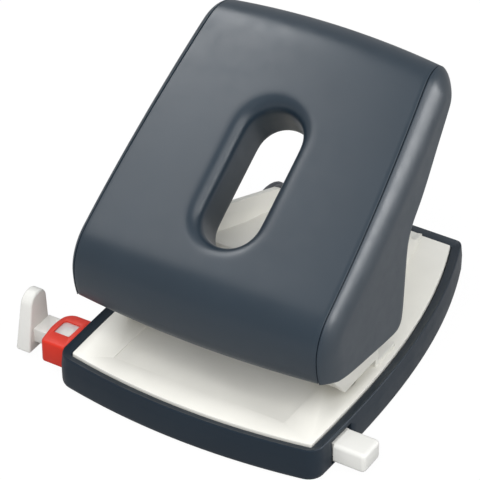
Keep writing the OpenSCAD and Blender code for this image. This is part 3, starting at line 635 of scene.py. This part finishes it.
# screw bosses under the panel, across and along its flat stretch, and their bore, radius, bottom and top
PANEL_BOSSES = [(-26, 0), (-26, 74), (26, 0), (26, 74)]
PANEL_BOSS = (1.6, 3.2, -3.6, 0.2)


def panel_rows(form):
    """Lengths of the panel's rows of points, and the first and last row of the patch round the slot."""
    slot = bpy.context.scene.punch_slot
    rim = slot.long / 2 + slot.rim
    patch_end = slot.centre + rim + PATCH_MARGIN

    start = -form.nose_len
    rows = steps(start - form.lip_len, start, 3) + steps(start, 0, 7)
    first = len(rows)
    rows += steps(0, patch_end, 14)
    last = len(rows)
    rows += steps(patch_end, form.h.flat, 2) + steps(form.h.flat, form.panel_len, 8) + [form.panel_len]
    return rows, first, last


def panel_share(column):
    """Place of a column across the panel, from -1 to 1."""
    if column < EDGE_COLUMNS:
        return -1 + (1 - SLOT_SHARE) * column / EDGE_COLUMNS
    if column <= EDGE_COLUMNS + SLOT_COLUMNS:
        return SLOT_SHARE * (2 * (column - EDGE_COLUMNS) / SLOT_COLUMNS - 1)
    return -panel_share(2 * EDGE_COLUMNS + SLOT_COLUMNS - column)


def grid(name, rows, columns, place):
    """Grid primitive laid on a surface by place(row, column). Returns it with its numbering."""
    bpy.ops.mesh.primitive_grid_add(x_subdivisions=columns, y_subdivisions=rows, size=2)
    piece = added(name)
    cells = {}
    for v in piece.data.vertices:
        cell = (round((v.co.y + 1) / 2 * rows), round((v.co.x + 1) / 2 * columns))
        cells[v.index] = cell
        v.co = place(*cell)
    return piece, cells


def build_panel():
    """Top panel: a crowned sheet, drawn down round the finger slot into a skirt, then given its wall."""
    form = HandleForm()
    slot = bpy.context.scene.punch_slot
    rows, first, last = panel_rows(form)
    columns = 2 * EDGE_COLUMNS + SLOT_COLUMNS

    def across(column, s):
        return panel_share(column) * (form.seam(s) - form.h.seam_gap)

    def place_on(row, column):
        return form.panel(across(column, rows[row]), rows[row])

    piece, cells = grid("handle_top", len(rows) - 1, columns, place_on)
    number(piece)

    def inside(v):
        row, column = cells[v]
        return first <= row <= last and EDGE_COLUMNS <= column <= columns - EDGE_COLUMNS

    core = slot.long / 2 - slot.half
    heading = {}
    for v, (row, column) in cells.items():
        if inside(v):
            along = rows[row] - slot.centre
            nearest = min(max(along, -core), core)
            heading[v] = (nearest, Vector((across(column, rows[row]), along - nearest)))

    def ring(radius, height=None):
        """Points round the slot at this radius, on the panel or this high over its flat stretch's plane."""
        points = {}
        for v, (nearest, way) in heading.items():
            if way.length > 0:
                x, off = radius * way.normalized()
                s = slot.centre + nearest + off
                points[v] = form.panel(x, s) if height is None else form.over_flat(x, s, height(x, s))
        return points

    def rise(x, s):
        return form.h.crown * (1 - (x / form.seam(s)) ** 2)

    pick(piece, "FACE", lambda f: all(inside(v) for v in f.vertices))
    bpy.ops.mesh.delete(type="FACE")
    mode("OBJECT")
    marks = piece.data.attributes["mark"].data
    on_rim = {v.index for v in piece.data.vertices if inside(marks[v.index].value)}
    pick(piece, "EDGE", lambda e: all(v in on_rim for v in e.vertices))
    bpy.ops.mesh.select_mode(type="EDGE")
    outer = slot.half + slot.rim
    for margin in SKIN_RINGS:
        draw_out(piece, ring(outer + margin))
    for step in range(1, RIM_STEPS + 1):
        a = math.pi / 2 * step / RIM_STEPS
        radius = outer - slot.rim * math.sin(a)
        draw_out(piece, ring(radius, lambda x, s, a=a: rise(x, s) - slot.rim * (1 - math.cos(a))))
    for share in SKIRT_SHARES:
        draw_out(piece, ring(slot.half - slot.draft * share,
                             lambda x, s, k=share: (1 - k) * (rise(x, s) - slot.rim) - k * slot.depth))
    mode("OBJECT")
    modify(piece, "SUBSURF", levels=1, render_levels=1, boundary_smooth="PRESERVE_CORNERS")
    modify(piece, "SOLIDIFY", thickness=form.h.wall, offset=-1, use_even_offset=True)
    soften(piece, 0.45 * MM, 3, 50)
    tilt = Matrix.Rotation(form.h.slope, 4, "X")
    bosses = []
    for x, s in PANEL_BOSSES:
        boss = screw_boss(*PANEL_BOSS, count=24)
        boss.data.transform(Matrix.Translation(form.over_flat(x * MM, s * MM, 0)) @ tilt)
        bosses.append(boss)
    piece = joined([piece] + bosses)
    shade(piece, 45)
    finish_piece(piece, "handle", "handle_plastic", finish("handle_satin"), "handle_panel")


# lower and rear outline of a cheek in side view, behind the table's front corners and over its top
CHEEK_OUTLINE = [
    (12.6, 20.3), (17, 19.7), (23, 19), (30, 18.2), (37, 17.5), (44, 16.7), (51, 16), (53.6, 16.4),
    (55.6, 18), (56.5, 21), (57.5, 30), (58.3, 39.3), (59.2, 46.8), (60.6, 51.2), (62.6, 54.6),
    (65.8, 57.7), (70.4, 61.6), (76.4, 68.2), (81.5, 74), (86, 78.6), (89, 81.5), (91.3, 83.8),
    (93.2, 85.6), (95, 87.3), (96.5, 88.8), (97.9, 90.1), (99, 91.2), (99.9, 92.1)]
# screw bosses: the rear one as the outline is given, the front one along and under the flat stretch
REAR_BOSS, FRONT_BOSS, BOSS_RADIUS = (52.1, 44), (28, 10), 3.4
TURN_SHARE = 0.93                 # end of the rounding in the straight rows, from the seam to the outline
LIP_ROWS, NOSE_ROWS, FLAT_ROWS, ROLL_ROWS = 2, 7, 10, 8
ROUND_COLUMNS, FLAT_COLUMNS = 8, 5


def from_front(back, up):
    """Side-view point this many millimetres behind the table's front corners and over its top."""
    return Vector((FRONT + back * MM, TOP + up * MM))


def build_cheek(side, form):
    """Side shell: rounded from the seam into a flat side, then given its wall."""
    h = form.h
    start = -form.nose_len
    lengths = steps(start - form.lip_len, start, LIP_ROWS) + steps(start, 0, NOSE_ROWS)
    lengths += steps(0, h.flat, FLAT_ROWS) + steps(h.flat, form.panel_len, ROLL_ROWS) + [form.panel_len]

    def place(row, column):
        point, normal, angle = form.edge(lengths[row])
        end = from_front(*CHEEK_OUTLINE[row])
        straight = row < LIP_ROWS or angle < math.radians(-5)
        turned = point + TURN_SHARE * (end - point) if straight else point - h.round_depth * normal
        if column <= ROUND_COLUMNS:
            q = point + (1 - math.cos(math.pi / 2 * column / ROUND_COLUMNS)) * (turned - point)
        else:
            q = turned + (column - ROUND_COLUMNS) / FLAT_COLUMNS * (end - turned)
        return form.cheek(q)

    piece, _ = grid(f"cheek_shell_{side}", len(lengths) - 1, ROUND_COLUMNS + FLAT_COLUMNS, place)
    modify(piece, "SUBSURF", levels=2, render_levels=2, boundary_smooth="PRESERVE_CORNERS")
    modify(piece, "SOLIDIFY", thickness=h.wall, offset=-1, use_even_offset=True)
    soften(piece, 0.4 * MM, 3, 50)
    lever_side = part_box("lever_frame")[1].x
    inner = h.half_width - h.wall / 2
    spots = [from_front(*REAR_BOSS),
             form.flat_start + FRONT_BOSS[0] * MM * form.along - FRONT_BOSS[1] * MM * form.out]
    bosses = [bar_x("boss", lever_side, inner, BOSS_RADIUS * MM, y, z, 32) for y, z in spots]
    piece = joined([piece] + bosses)
    if side == "left":
        piece.scale.x = -1
        alone(piece)
        bpy.ops.object.transform_apply(location=False, rotation=False, scale=True)
        face_out(piece, merge=False)
    shade(piece, 45)
    finish_piece(piece, "handle", "cheek_plastic", finish("handle_satin"), f"cheek_{side}")


# ---- base

# section of the base's wall in millimetres: outside the table's edge, height, rounding of the corners
WALL_SECTION = [
    (2.3, 0.8, 4.3), (2.7, 0.8, 4.7), (3.3, 0.95, 5.3), (3.9, 1.45, 5.9), (4.25, 2.2, 6.25),
    (4.4, 3.2, 6.4), (4.47, 6, 6.47), (4.5, 9.2, 6.5), (4.43, 9.9, 6.43), (4.12, 13.2, 6.12),
    (4.05, 13.8, 6.05), (3.9, 14.15, 5.9), (3.7, 14.3, 5.7), (3.5, 14.24, 5.5), (3.15, 13.98, 5),
    (2.5, 13.68, 4.2), (0.95, 13.25, 1.6), (0.6, 13.15, 1), (0.42, 12.95, 0.8), (0.35, 12.4, 0.8),
    (-1.4, 12.4, 0.6), (-1.4, 10.8, 0.6), (2.3, 10.8, 4.3)]
POSTS = [(40, 1.8), (32.5, 117)]        # from the middle and behind the table's front corners
# post: outer radius, well for the rubber foot, bore for the screw, broken edge, and the foot's depth in it
POST, WELL, BORE, POST_EDGE, FOOT_DEPTH = 4.4 * MM, 3.85 * MM, 1.8 * MM, 0.3 * MM, 1.2 * MM
OUTSIDE = 80 * MM                       # farther out than any wall
RIB_HALF, RIB_START = 2 * MM, 3.9 * MM
FRONT_REACH, REAR_REACH = 4.6 * MM, 1.5 * MM    # ends of the ribs, past the corners and inside the rear
HINGE_LUGS = [(19, 21.7), (30.3, 33)]
LUG, LUG_DROP = 1.8 * MM, 3.6 * MM      # the lugs' half width, and their top under the table's
# bosses under the table: bore, radius, bottom and top
TABLE_BOSS = (1.5, 3.2, 7.4, 12.5)
RECESS_FRONT, RECESS_BACK = 5.5 * MM, 47.6 * MM


def build_base():
    """Base: its wall as one section carried round the table, with posts, ribs and hinge lugs inside."""
    form = TableForm()
    wall = loft("base_shell", [form.ring(o * MM, z * MM, c * MM) for o, z, c in WALL_SECTION], True)
    # ways for the end cap on the right and for the rail on the left
    for solid, x0, x1 in (("rail_end_cap", 0, OUTSIDE), ("guide_rail", -OUTSIDE, 0)):
        gap = 0.5 * MM
        low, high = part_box(solid)
        cut(wall, block("way", (x0, low.y - gap, low.z - gap), (x1, high.y + gap, high.z + 2 * gap)))
    soften(wall, 0.12 * MM, 1, 60)
    inside = []
    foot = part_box("rubber_feet")[1].z
    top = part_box("table_plate")[0].z
    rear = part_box("base_body")[1].y - REAR_REACH
    bottom, well_top = foot - FOOT_DEPTH, foot + 0.1 * MM
    section = [(WELL, bottom), (POST, bottom), (POST, top - POST_EDGE), (POST - POST_EDGE, top),
               (BORE, top), (BORE, well_top), (WELL, well_top)]
    for (x, y), end in zip(POSTS, (FRONT - FRONT_REACH, rear)):
        for m in (-1, 1):
            spot = Vector((m * x * MM, FRONT + y * MM, 0))
            inside.append(lathe("post", section, spot, 40, True))
            y0, y1 = sorted((spot.y + math.copysign(RIB_START, end - spot.y), end))
            inside.append(block("rib", (spot.x - RIB_HALF, y0, bottom), (spot.x + RIB_HALF, y1, top)))
    pin_low, pin_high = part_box("tray_hinge_pins")
    y, z = (pin_low.y + pin_high.y) / 2, (pin_low.z + pin_high.z) / 2
    for m in (-1, 1):
        for pair in HINGE_LUGS:
            x0, x1 = sorted(m * v * MM for v in pair)
            inside.append(bar_x("lug", x0, x1, LUG, y, z, 32))
            inside.append(block("lug", (x0, y, z - LUG), (x1, rear, TOP - LUG_DROP)))
    piece = joined([wall] + inside)
    shade(piece, 50)
    finish_piece(piece, "base", "base_plastic", finish("base_satin"), "base_body")


def build_table():
    """Table: a thin plate with a softly broken edge, a sunken middle and the two die holes."""
    form = TableForm()
    b = form.b
    edge = 0.3 * MM
    # outside the table's edge, height and rounding of the upright corners
    section = [(0, TOP - b.plate, 0.7 * MM), (0, TOP - edge, 0.7 * MM),
               (-0.3 * edge, TOP - 0.3 * edge, 0.7 * MM), (-edge, TOP, 0.6 * MM)]
    plate = loft("table_top", [form.ring(*row) for row in section])
    cut(plate, block("recess", (-b.recess_half, FRONT + RECESS_FRONT, TOP - b.recess_depth),
                     (b.recess_half, FRONT + RECESS_BACK, TOP + 5 * MM)))
    low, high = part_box("dies")
    radius = (high.y - low.y) / 2
    for m in (-1, 1):
        cut(plate, lathe("way", [(radius, 0), (radius, 30 * MM)],
                         Vector((m * (high.x - radius), (low.y + high.y) / 2, 0)), 64))
    soften(plate, 0.12 * MM, 2, 60)
    bosses = [screw_boss(*TABLE_BOSS, Vector((m * x * MM, FRONT + y * MM, 0)))
              for x, y in POSTS for m in (-1, 1)]
    piece = joined([plate] + bosses)
    shade(piece, 40)
    finish_piece(piece, "base", "cream_plastic", finish("cream_satin"), "table_plate")


# ---- paper guide and window

def rounded(corners, radii, count=8):
    """Outline of a convex shape, its corners given anticlockwise, with a radius at each."""
    outline = []
    for k, (corner, r) in enumerate(zip(corners, radii)):
        here = Vector(corner)
        back = (Vector(corners[k - 1]) - here).normalized()
        on = (Vector(corners[(k + 1) % len(corners)]) - here).normalized()
        half = back.angle(on) / 2
        reach = r / math.tan(half)
        centre = here + r / math.sin(half) * (back + on).normalized()
        start, end = (math.atan2(v[1], v[0]) for v in (here + reach * way - centre for way in (back, on)))
        sweep = (end - start) % (2 * math.pi)
        outline += [centre + r * Vector((math.cos(a), math.sin(a)))
                    for a in steps(start, start + sweep, count) + [start + sweep]]
    return outline


def corners_of(low, high):
    """Corners of a rectangle, anticlockwise."""
    return [(low[0], low[1]), (high[0], low[1]), (high[0], high[1]), (low[0], high[1])]


def build_housing():
    """Red housing: bowed at its outer end, with a softly broken top edge and a sunken window."""
    low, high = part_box("window_housing")
    bow = 0.9 * MM
    # inset in plan and height of each ring, from the bottom up
    levels = [(0.6 * MM, low.z), (0.15 * MM, low.z + 0.15 * MM), (0, low.z + 0.6 * MM),
              (0, high.z - 1.1 * MM), (0.12 * MM, high.z - 0.55 * MM), (0.42 * MM, high.z - 0.17 * MM),
              (0.95 * MM, high.z)]
    rings = []
    for inset, z in levels:
        x0, x1 = low.x + inset, high.x
        y0, y1 = low.y + inset, high.y - inset
        corners = [(x1, y0), (x1, y1), (x0, y1), (x0 - bow, (y0 + y1) / 2), (x0 + 0.6 * MM, y0)]
        radii = [0.2 * MM, 0.2 * MM, 5 * MM - inset, 20 * MM, 1.6 * MM - inset]
        rings.append(raised(rounded(corners, radii), z))
    piece = loft("red_housing", rings)
    rail_low, rail_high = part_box("guide_rail")
    gap = 0.3 * MM
    cut(piece, block("way", (low.x - 5 * MM, rail_low.y - gap, rail_low.z - gap),
                     (high.x + 5 * MM, rail_high.y + gap, rail_high.z + gap)))
    # the pane is a little longer than its solid, and nearer to the front
    low_pane, high_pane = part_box("window_lens")
    longer, nearer = 0.3 * MM, 1.3 * MM
    low_pane, high_pane = low_pane - Vector((longer, nearer, 0)), high_pane + Vector((longer, -nearer, 0))
    opening = rounded(corners_of(low_pane, high_pane), [0.5 * MM, 0.5 * MM, 0.8 * MM, 1.6 * MM])
    cut(piece, loft("way", [raised(opening, z) for z in (rail_high.z - MM, high.z + MM)]))
    soften(piece, 0.25 * MM, 2, 50)
    shade(piece, 40)
    finish_piece(piece, "base", "red_plastic", finish("red_gloss"), "window_housing")
    pane = loft("window_pane", [raised(opening, z) for z in (low_pane.z, high_pane.z)])
    soften(pane, 0.1 * MM, 1, 50)
    shade(pane, 30)
    finish_piece(pane, "base", "clear_window", finish("clear_window"), "window_lens")


def build_stop():
    """End stop: a plate that leans back and thins towards its round top."""
    low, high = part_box("end_stop")
    lean = 4 * MM               # of its front edge, from the foot to the top
    thin = 0.9 * MM             # how much each side draws in over the height
    y0, y1, z0, z1 = low.y - 0.9 * MM, high.y + 0.4 * MM, low.z - 0.7 * MM, high.z - 1.4 * MM
    outline = rounded([(y0, z0), (y1, z0), (y1 - 0.7 * MM, z1), (y0 + lean, z1)],
                      [0.8 * MM, 0.8 * MM, 4.2 * MM, 5 * MM])

    def ring(x, share):
        return [Vector((x + share * thin * (z - z0) / (z1 - z0), y, z)) for y, z in outline]

    piece = loft("stop_plate", [ring(low.x - 0.2 * MM, 0.6), ring(high.x + 0.5 * MM, -1)])
    soften(piece, 0.8 * MM, 4, 50)
    shade(piece, 40)
    finish_piece(piece, "guide", "white_plastic", finish("white_satin"), "end_stop")


def build_cap():
    """End cap of the rail: a block with well rounded edges, its root in the base's notch."""
    low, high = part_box("rail_end_cap")
    r = 1.5 * MM                # rounding of the outer edges
    end = high.x + 0.9 * MM
    y0, y1 = low.y - 0.2 * MM, high.y - 0.7 * MM
    rings = []
    for x, inset in ((low.x, 0), (end - r, 0), (end - 0.6 * r, 0.1 * r), (end - 0.2 * r, 0.42 * r), (end, r)):
        corners = corners_of((y0 + inset, low.z + inset), (y1 - inset, high.z - inset))
        outline = rounded(corners, [r + 0.1 * MM - 0.6 * inset] * 4, 6)
        rings.append([Vector((x, y, z)) for y, z in outline])
    piece = loft("end_knob", rings)
    shade(piece, 50)
    finish_piece(piece, "guide", "white_plastic", finish("white_satin"), "rail_end_cap")


# pieces that keep the solid's form and get broken edges: name, solid, body, slot, finish, edge in millimetres
REFINED = [
    ("cover_shell", "frame_cover", "base", "cream_plastic", "cream_satin", 0.35),
    ("lock_tab", "lock_slider", "lock", "dark_plastic", "dark_satin", 0.4),
    ("guide_bar", "guide_rail", "guide", "white_plastic", "white_satin", 0.3),
    ("frame_plate", "punch_frame", "base", "pale_steel", "cream_paint", 0.25),
    ("lever_plate", "lever_frame", "handle", "pale_steel", "bright_steel", 0.2),
    ("chip_pan", "chip_tray", "chip_tray", "tray_plastic", "tray_matt", 0.25),
    ("pressing_bar", "press_bar", "handle", "bright_steel", "bright_steel", 0.3),
]
# solids that stay as they are: finish by node
KEPT = {
    "ground_steel": ["punch_pin_left", "punch_pin_right", "dies"],
    "bright_steel": ["pivot_axle", "tray_hinge_pins", "frame_rivets", "rail_spring", "cover_screws",
                     "table_screws", "panel_screws", "cheek_screws"],
    "dark_steel": ["axle_clips", "pin_collar_left", "pin_collar_right"],
    "bush_brass": ["guide_bushes"],
    "foot_rubber": ["rubber_feet"],
    "ruled_strip": ["scale_strip"],
}


def refine(name, solid, body, slot, material, edge):
    """Stands a copy of a solid with broken edges in its place."""
    piece = copy_of(solid, name)
    soften(piece, edge * MM, 2, 30)
    shade(piece, 35)
    finish_piece(piece, body, slot, finish(material), solid)


def build_spring(side):
    """Return spring: a merged copy of its solid, standing on its guide bush."""
    solid = f"pin_spring_{side}"
    piece = copy_of(solid, f"return_spring_{side}")
    shade(piece, 60)
    finish_piece(piece, "base", "bright_steel", finish("spring_wire"), solid)
    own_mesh(piece)


# ---- stage

CAMERA_PLACE = Vector((462.87, -785.74, 697.85)) * MM
CAMERA_TURN = (35.70, -31.473, 0.02)          # down, round to the left, and roll, in degrees
FRAME_WIDTH = 36
LENS = 235.986
CENTRE = Vector((0, 0, 0.045))
# share of the white surroundings that a gloss picks up, and share of the floor that is light without a shadow
GLOSS_SHARE = 0.15
FLOOR_SHARE = 0.9


def build_stage():
    """Camera, floor, lamps and world."""
    scene = bpy.context.scene
    scene.view_settings.view_transform = "Standard"
    down, left, roll = (math.radians(a) for a in CAMERA_TURN)
    bpy.ops.object.camera_add(location=CAMERA_PLACE, rotation=(math.pi / 2 - down, roll, -left))
    camera = bpy.context.object
    camera.data.lens = LENS
    camera.data.sensor_width = FRAME_WIDTH
    camera.data.clip_end = 20
    scene.camera = camera

    bpy.ops.mesh.primitive_plane_add(size=12, location=(0, 0, -0.0001))
    floor = added("floor")
    floor.data.materials.append(floor_finish())

    softbox("light_top", (-0.5, -0.2, 0.85), 1.1, 0.7, 2.7)
    softbox("light_right", (0.79, -0.06, 0.54), 1.1, 1.0, 6.8)
    # a fill without a highlight, and two reflectors that give the panel and the rounded sides theirs
    softbox("light_front", (0.16, -0.64, 0.75), 1.2, 0.7, 10.5, glossy=False)
    softbox("light_near", (-0.6, 0.16, 0.78), 0.42, 0.22, 0.72, diffuse=False)
    softbox("light_edge", (0.92, 0.37, 0.08), 1.1, 0.7, 11.5, diffuse=False)

    world = bpy.data.worlds.new("studio")
    scene.world = world
    world.use_nodes = True
    tree = world.node_tree
    tree.nodes.clear()
    fill = node(tree, "ShaderNodeBackground", Color=(0.93, 0.96, 1, 1), Strength=0.47)
    white = node(tree, "ShaderNodeBackground", Color=(1, 1, 1, 1))
    mix = node(tree, "ShaderNodeMixShader", {0: seen_rays(tree), 1: fill.outputs[0], 2: white.outputs[0]})
    node(tree, "ShaderNodeOutputWorld", {"Surface": mix.outputs[0]})


def seen_rays(tree):
    """1 for rays from the camera or through a window, and a share for those that a gloss sends on."""
    path = node(tree, "ShaderNodeLightPath").outputs
    direct = node(tree, "ShaderNodeMath", {0: path["Is Camera Ray"], 1: path["Is Transmission Ray"]},
                  operation="MAXIMUM")
    return node(tree, "ShaderNodeMath", {0: path["Is Glossy Ray"], 1: GLOSS_SHARE, 2: direct.outputs[0]},
                operation="MULTIPLY_ADD", use_clamp=True).outputs[0]


def floor_finish():
    """White where it is seen, with the object's soft shadow kept, and a calm grey for bounced light."""
    material = bpy.data.materials.new("floor_white")
    material.use_nodes = True
    tree = material.node_tree
    tree.nodes.clear()
    share = node(tree, "ShaderNodeMath", {0: seen_rays(tree), 1: FLOOR_SHARE}, operation="MULTIPLY")
    matt = node(tree, "ShaderNodeBsdfDiffuse", Color=(0.42, 0.42, 0.42, 1))
    glow = node(tree, "ShaderNodeEmission", Color=(1, 1, 1, 1), Strength=1.07)
    mix = node(tree, "ShaderNodeMixShader", {0: share.outputs[0], 1: matt.outputs[0], 2: glow.outputs[0]})
    node(tree, "ShaderNodeOutputMaterial", {"Surface": mix.outputs[0]})
    return material


def softbox(name, direction, distance, size, power, diffuse=True, glossy=True):
    """Square soft light that looks at the object's middle."""
    way = Vector(direction).normalized()
    place = CENTRE + distance * way
    turned = way.to_track_quat("Z", "Y").to_euler()
    bpy.ops.object.light_add(type="AREA", location=place, rotation=turned)
    lamp = bpy.context.object
    lamp.name = name
    lamp.data.size = size
    lamp.data.energy = power
    lamp.visible_diffuse = diffuse
    lamp.visible_glossy = glossy


# ---- operators and panel

class PUNCH_OT_stage(bpy.types.Operator):
    """Camera, floor, lights and world"""
    bl_idname = "punch.stage"
    bl_label = "Stage"

    def execute(self, context):
        build_stage()
        return {"FINISHED"}


class PUNCH_OT_panel(bpy.types.Operator):
    """Top panel of the handle with its finger slot"""
    bl_idname = "punch.panel"
    bl_label = "Top panel"

    def execute(self, context):
        build_panel()
        return {"FINISHED"}


class PUNCH_OT_cheeks(bpy.types.Operator):
    """Two side shells of the handle"""
    bl_idname = "punch.cheeks"
    bl_label = "Cheeks"

    def execute(self, context):
        for side in ("right", "left"):
            build_cheek(side, HandleForm())
        return {"FINISHED"}


class PUNCH_OT_base(bpy.types.Operator):
    """Dark base with its rim and inner posts"""
    bl_idname = "punch.base"
    bl_label = "Base"

    def execute(self, context):
        build_base()
        return {"FINISHED"}


class PUNCH_OT_table(bpy.types.Operator):
    """Cream table with its sunken middle"""
    bl_idname = "punch.table"
    bl_label = "Table"

    def execute(self, context):
        build_table()
        return {"FINISHED"}


class PUNCH_OT_housing(bpy.types.Operator):
    """Red housing with its window"""
    bl_idname = "punch.housing"
    bl_label = "Window housing"

    def execute(self, context):
        build_housing()
        return {"FINISHED"}


class PUNCH_OT_guide_ends(bpy.types.Operator):
    """End stop and end cap of the paper guide"""
    bl_idname = "punch.guide_ends"
    bl_label = "Guide ends"

    def execute(self, context):
        build_stop()
        build_cap()
        return {"FINISHED"}


class PUNCH_OT_refined(bpy.types.Operator):
    """Pieces that keep their solid's form, with broken edges"""
    bl_idname = "punch.refined"
    bl_label = "Refined solids"

    def execute(self, context):
        for row in REFINED:
            refine(*row)
        return {"FINISHED"}


class PUNCH_OT_springs(bpy.types.Operator):
    """Return springs of the two punch pins"""
    bl_idname = "punch.springs"
    bl_label = "Return springs"

    def execute(self, context):
        for side in ("left", "right"):
            build_spring(side)
        return {"FINISHED"}


class PUNCH_OT_hardware(bpy.types.Operator):
    """Finishes of the pins, screws, axle, bushes, paper strip and feet"""
    bl_idname = "punch.hardware"
    bl_label = "Hardware finishes"

    def execute(self, context):
        for name, solids in KEPT.items():
            for solid in solids:
                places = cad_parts[solid].material_slots
                if not places:
                    raise RuntimeError(f"{solid} has no place for a material")
                for place in places:
                    place.material = finish(name)
        return {"FINISHED"}


STEPS = [PUNCH_OT_stage, PUNCH_OT_panel, PUNCH_OT_cheeks, PUNCH_OT_base, PUNCH_OT_table, PUNCH_OT_housing,
         PUNCH_OT_guide_ends, PUNCH_OT_refined, PUNCH_OT_springs, PUNCH_OT_hardware]


class PUNCH_PT_panel(bpy.types.Panel):
    """Sizes, colours and steps of the punch"""
    bl_idname = "PUNCH_PT_panel"
    bl_label = "Punch"
    bl_space_type = "VIEW_3D"
    bl_region_type = "UI"
    bl_category = "Punch"

    def draw(self, context):
        for step in STEPS:
            self.layout.operator(step.bl_idname)
        for name in GROUPS:
            box = self.layout.box()
            group = getattr(context.scene, name)
            for key in group.bl_rna.properties.keys():
                if key not in ("rna_type", "name"):
                    box.prop(group, key)


GROUPS = {"punch_handle": HandleSizes, "punch_slot": SlotSizes, "punch_base": BaseSizes, "punch_tints": Tints}


def register():
    for name, group in GROUPS.items():
        bpy.utils.register_class(group)
        setattr(bpy.types.Scene, name, bpy.props.PointerProperty(type=group))
    for step in STEPS + [PUNCH_PT_panel]:
        bpy.utils.register_class(step)


def unregister():
    for step in reversed(STEPS + [PUNCH_PT_panel]):
        bpy.utils.unregister_class(step)
    for name, group in reversed(list(GROUPS.items())):
        delattr(bpy.types.Scene, name)
        bpy.utils.unregister_class(group)


def main():
    register()
    for step in STEPS:
        place, word = step.bl_idname.split(".")
        if getattr(getattr(bpy.ops, place), word)() != {"FINISHED"}:
            raise RuntimeError(f"{step.bl_label} was not finished")
    bpy.context.view_layer.update()


if __name__ == "__main__":
    main()
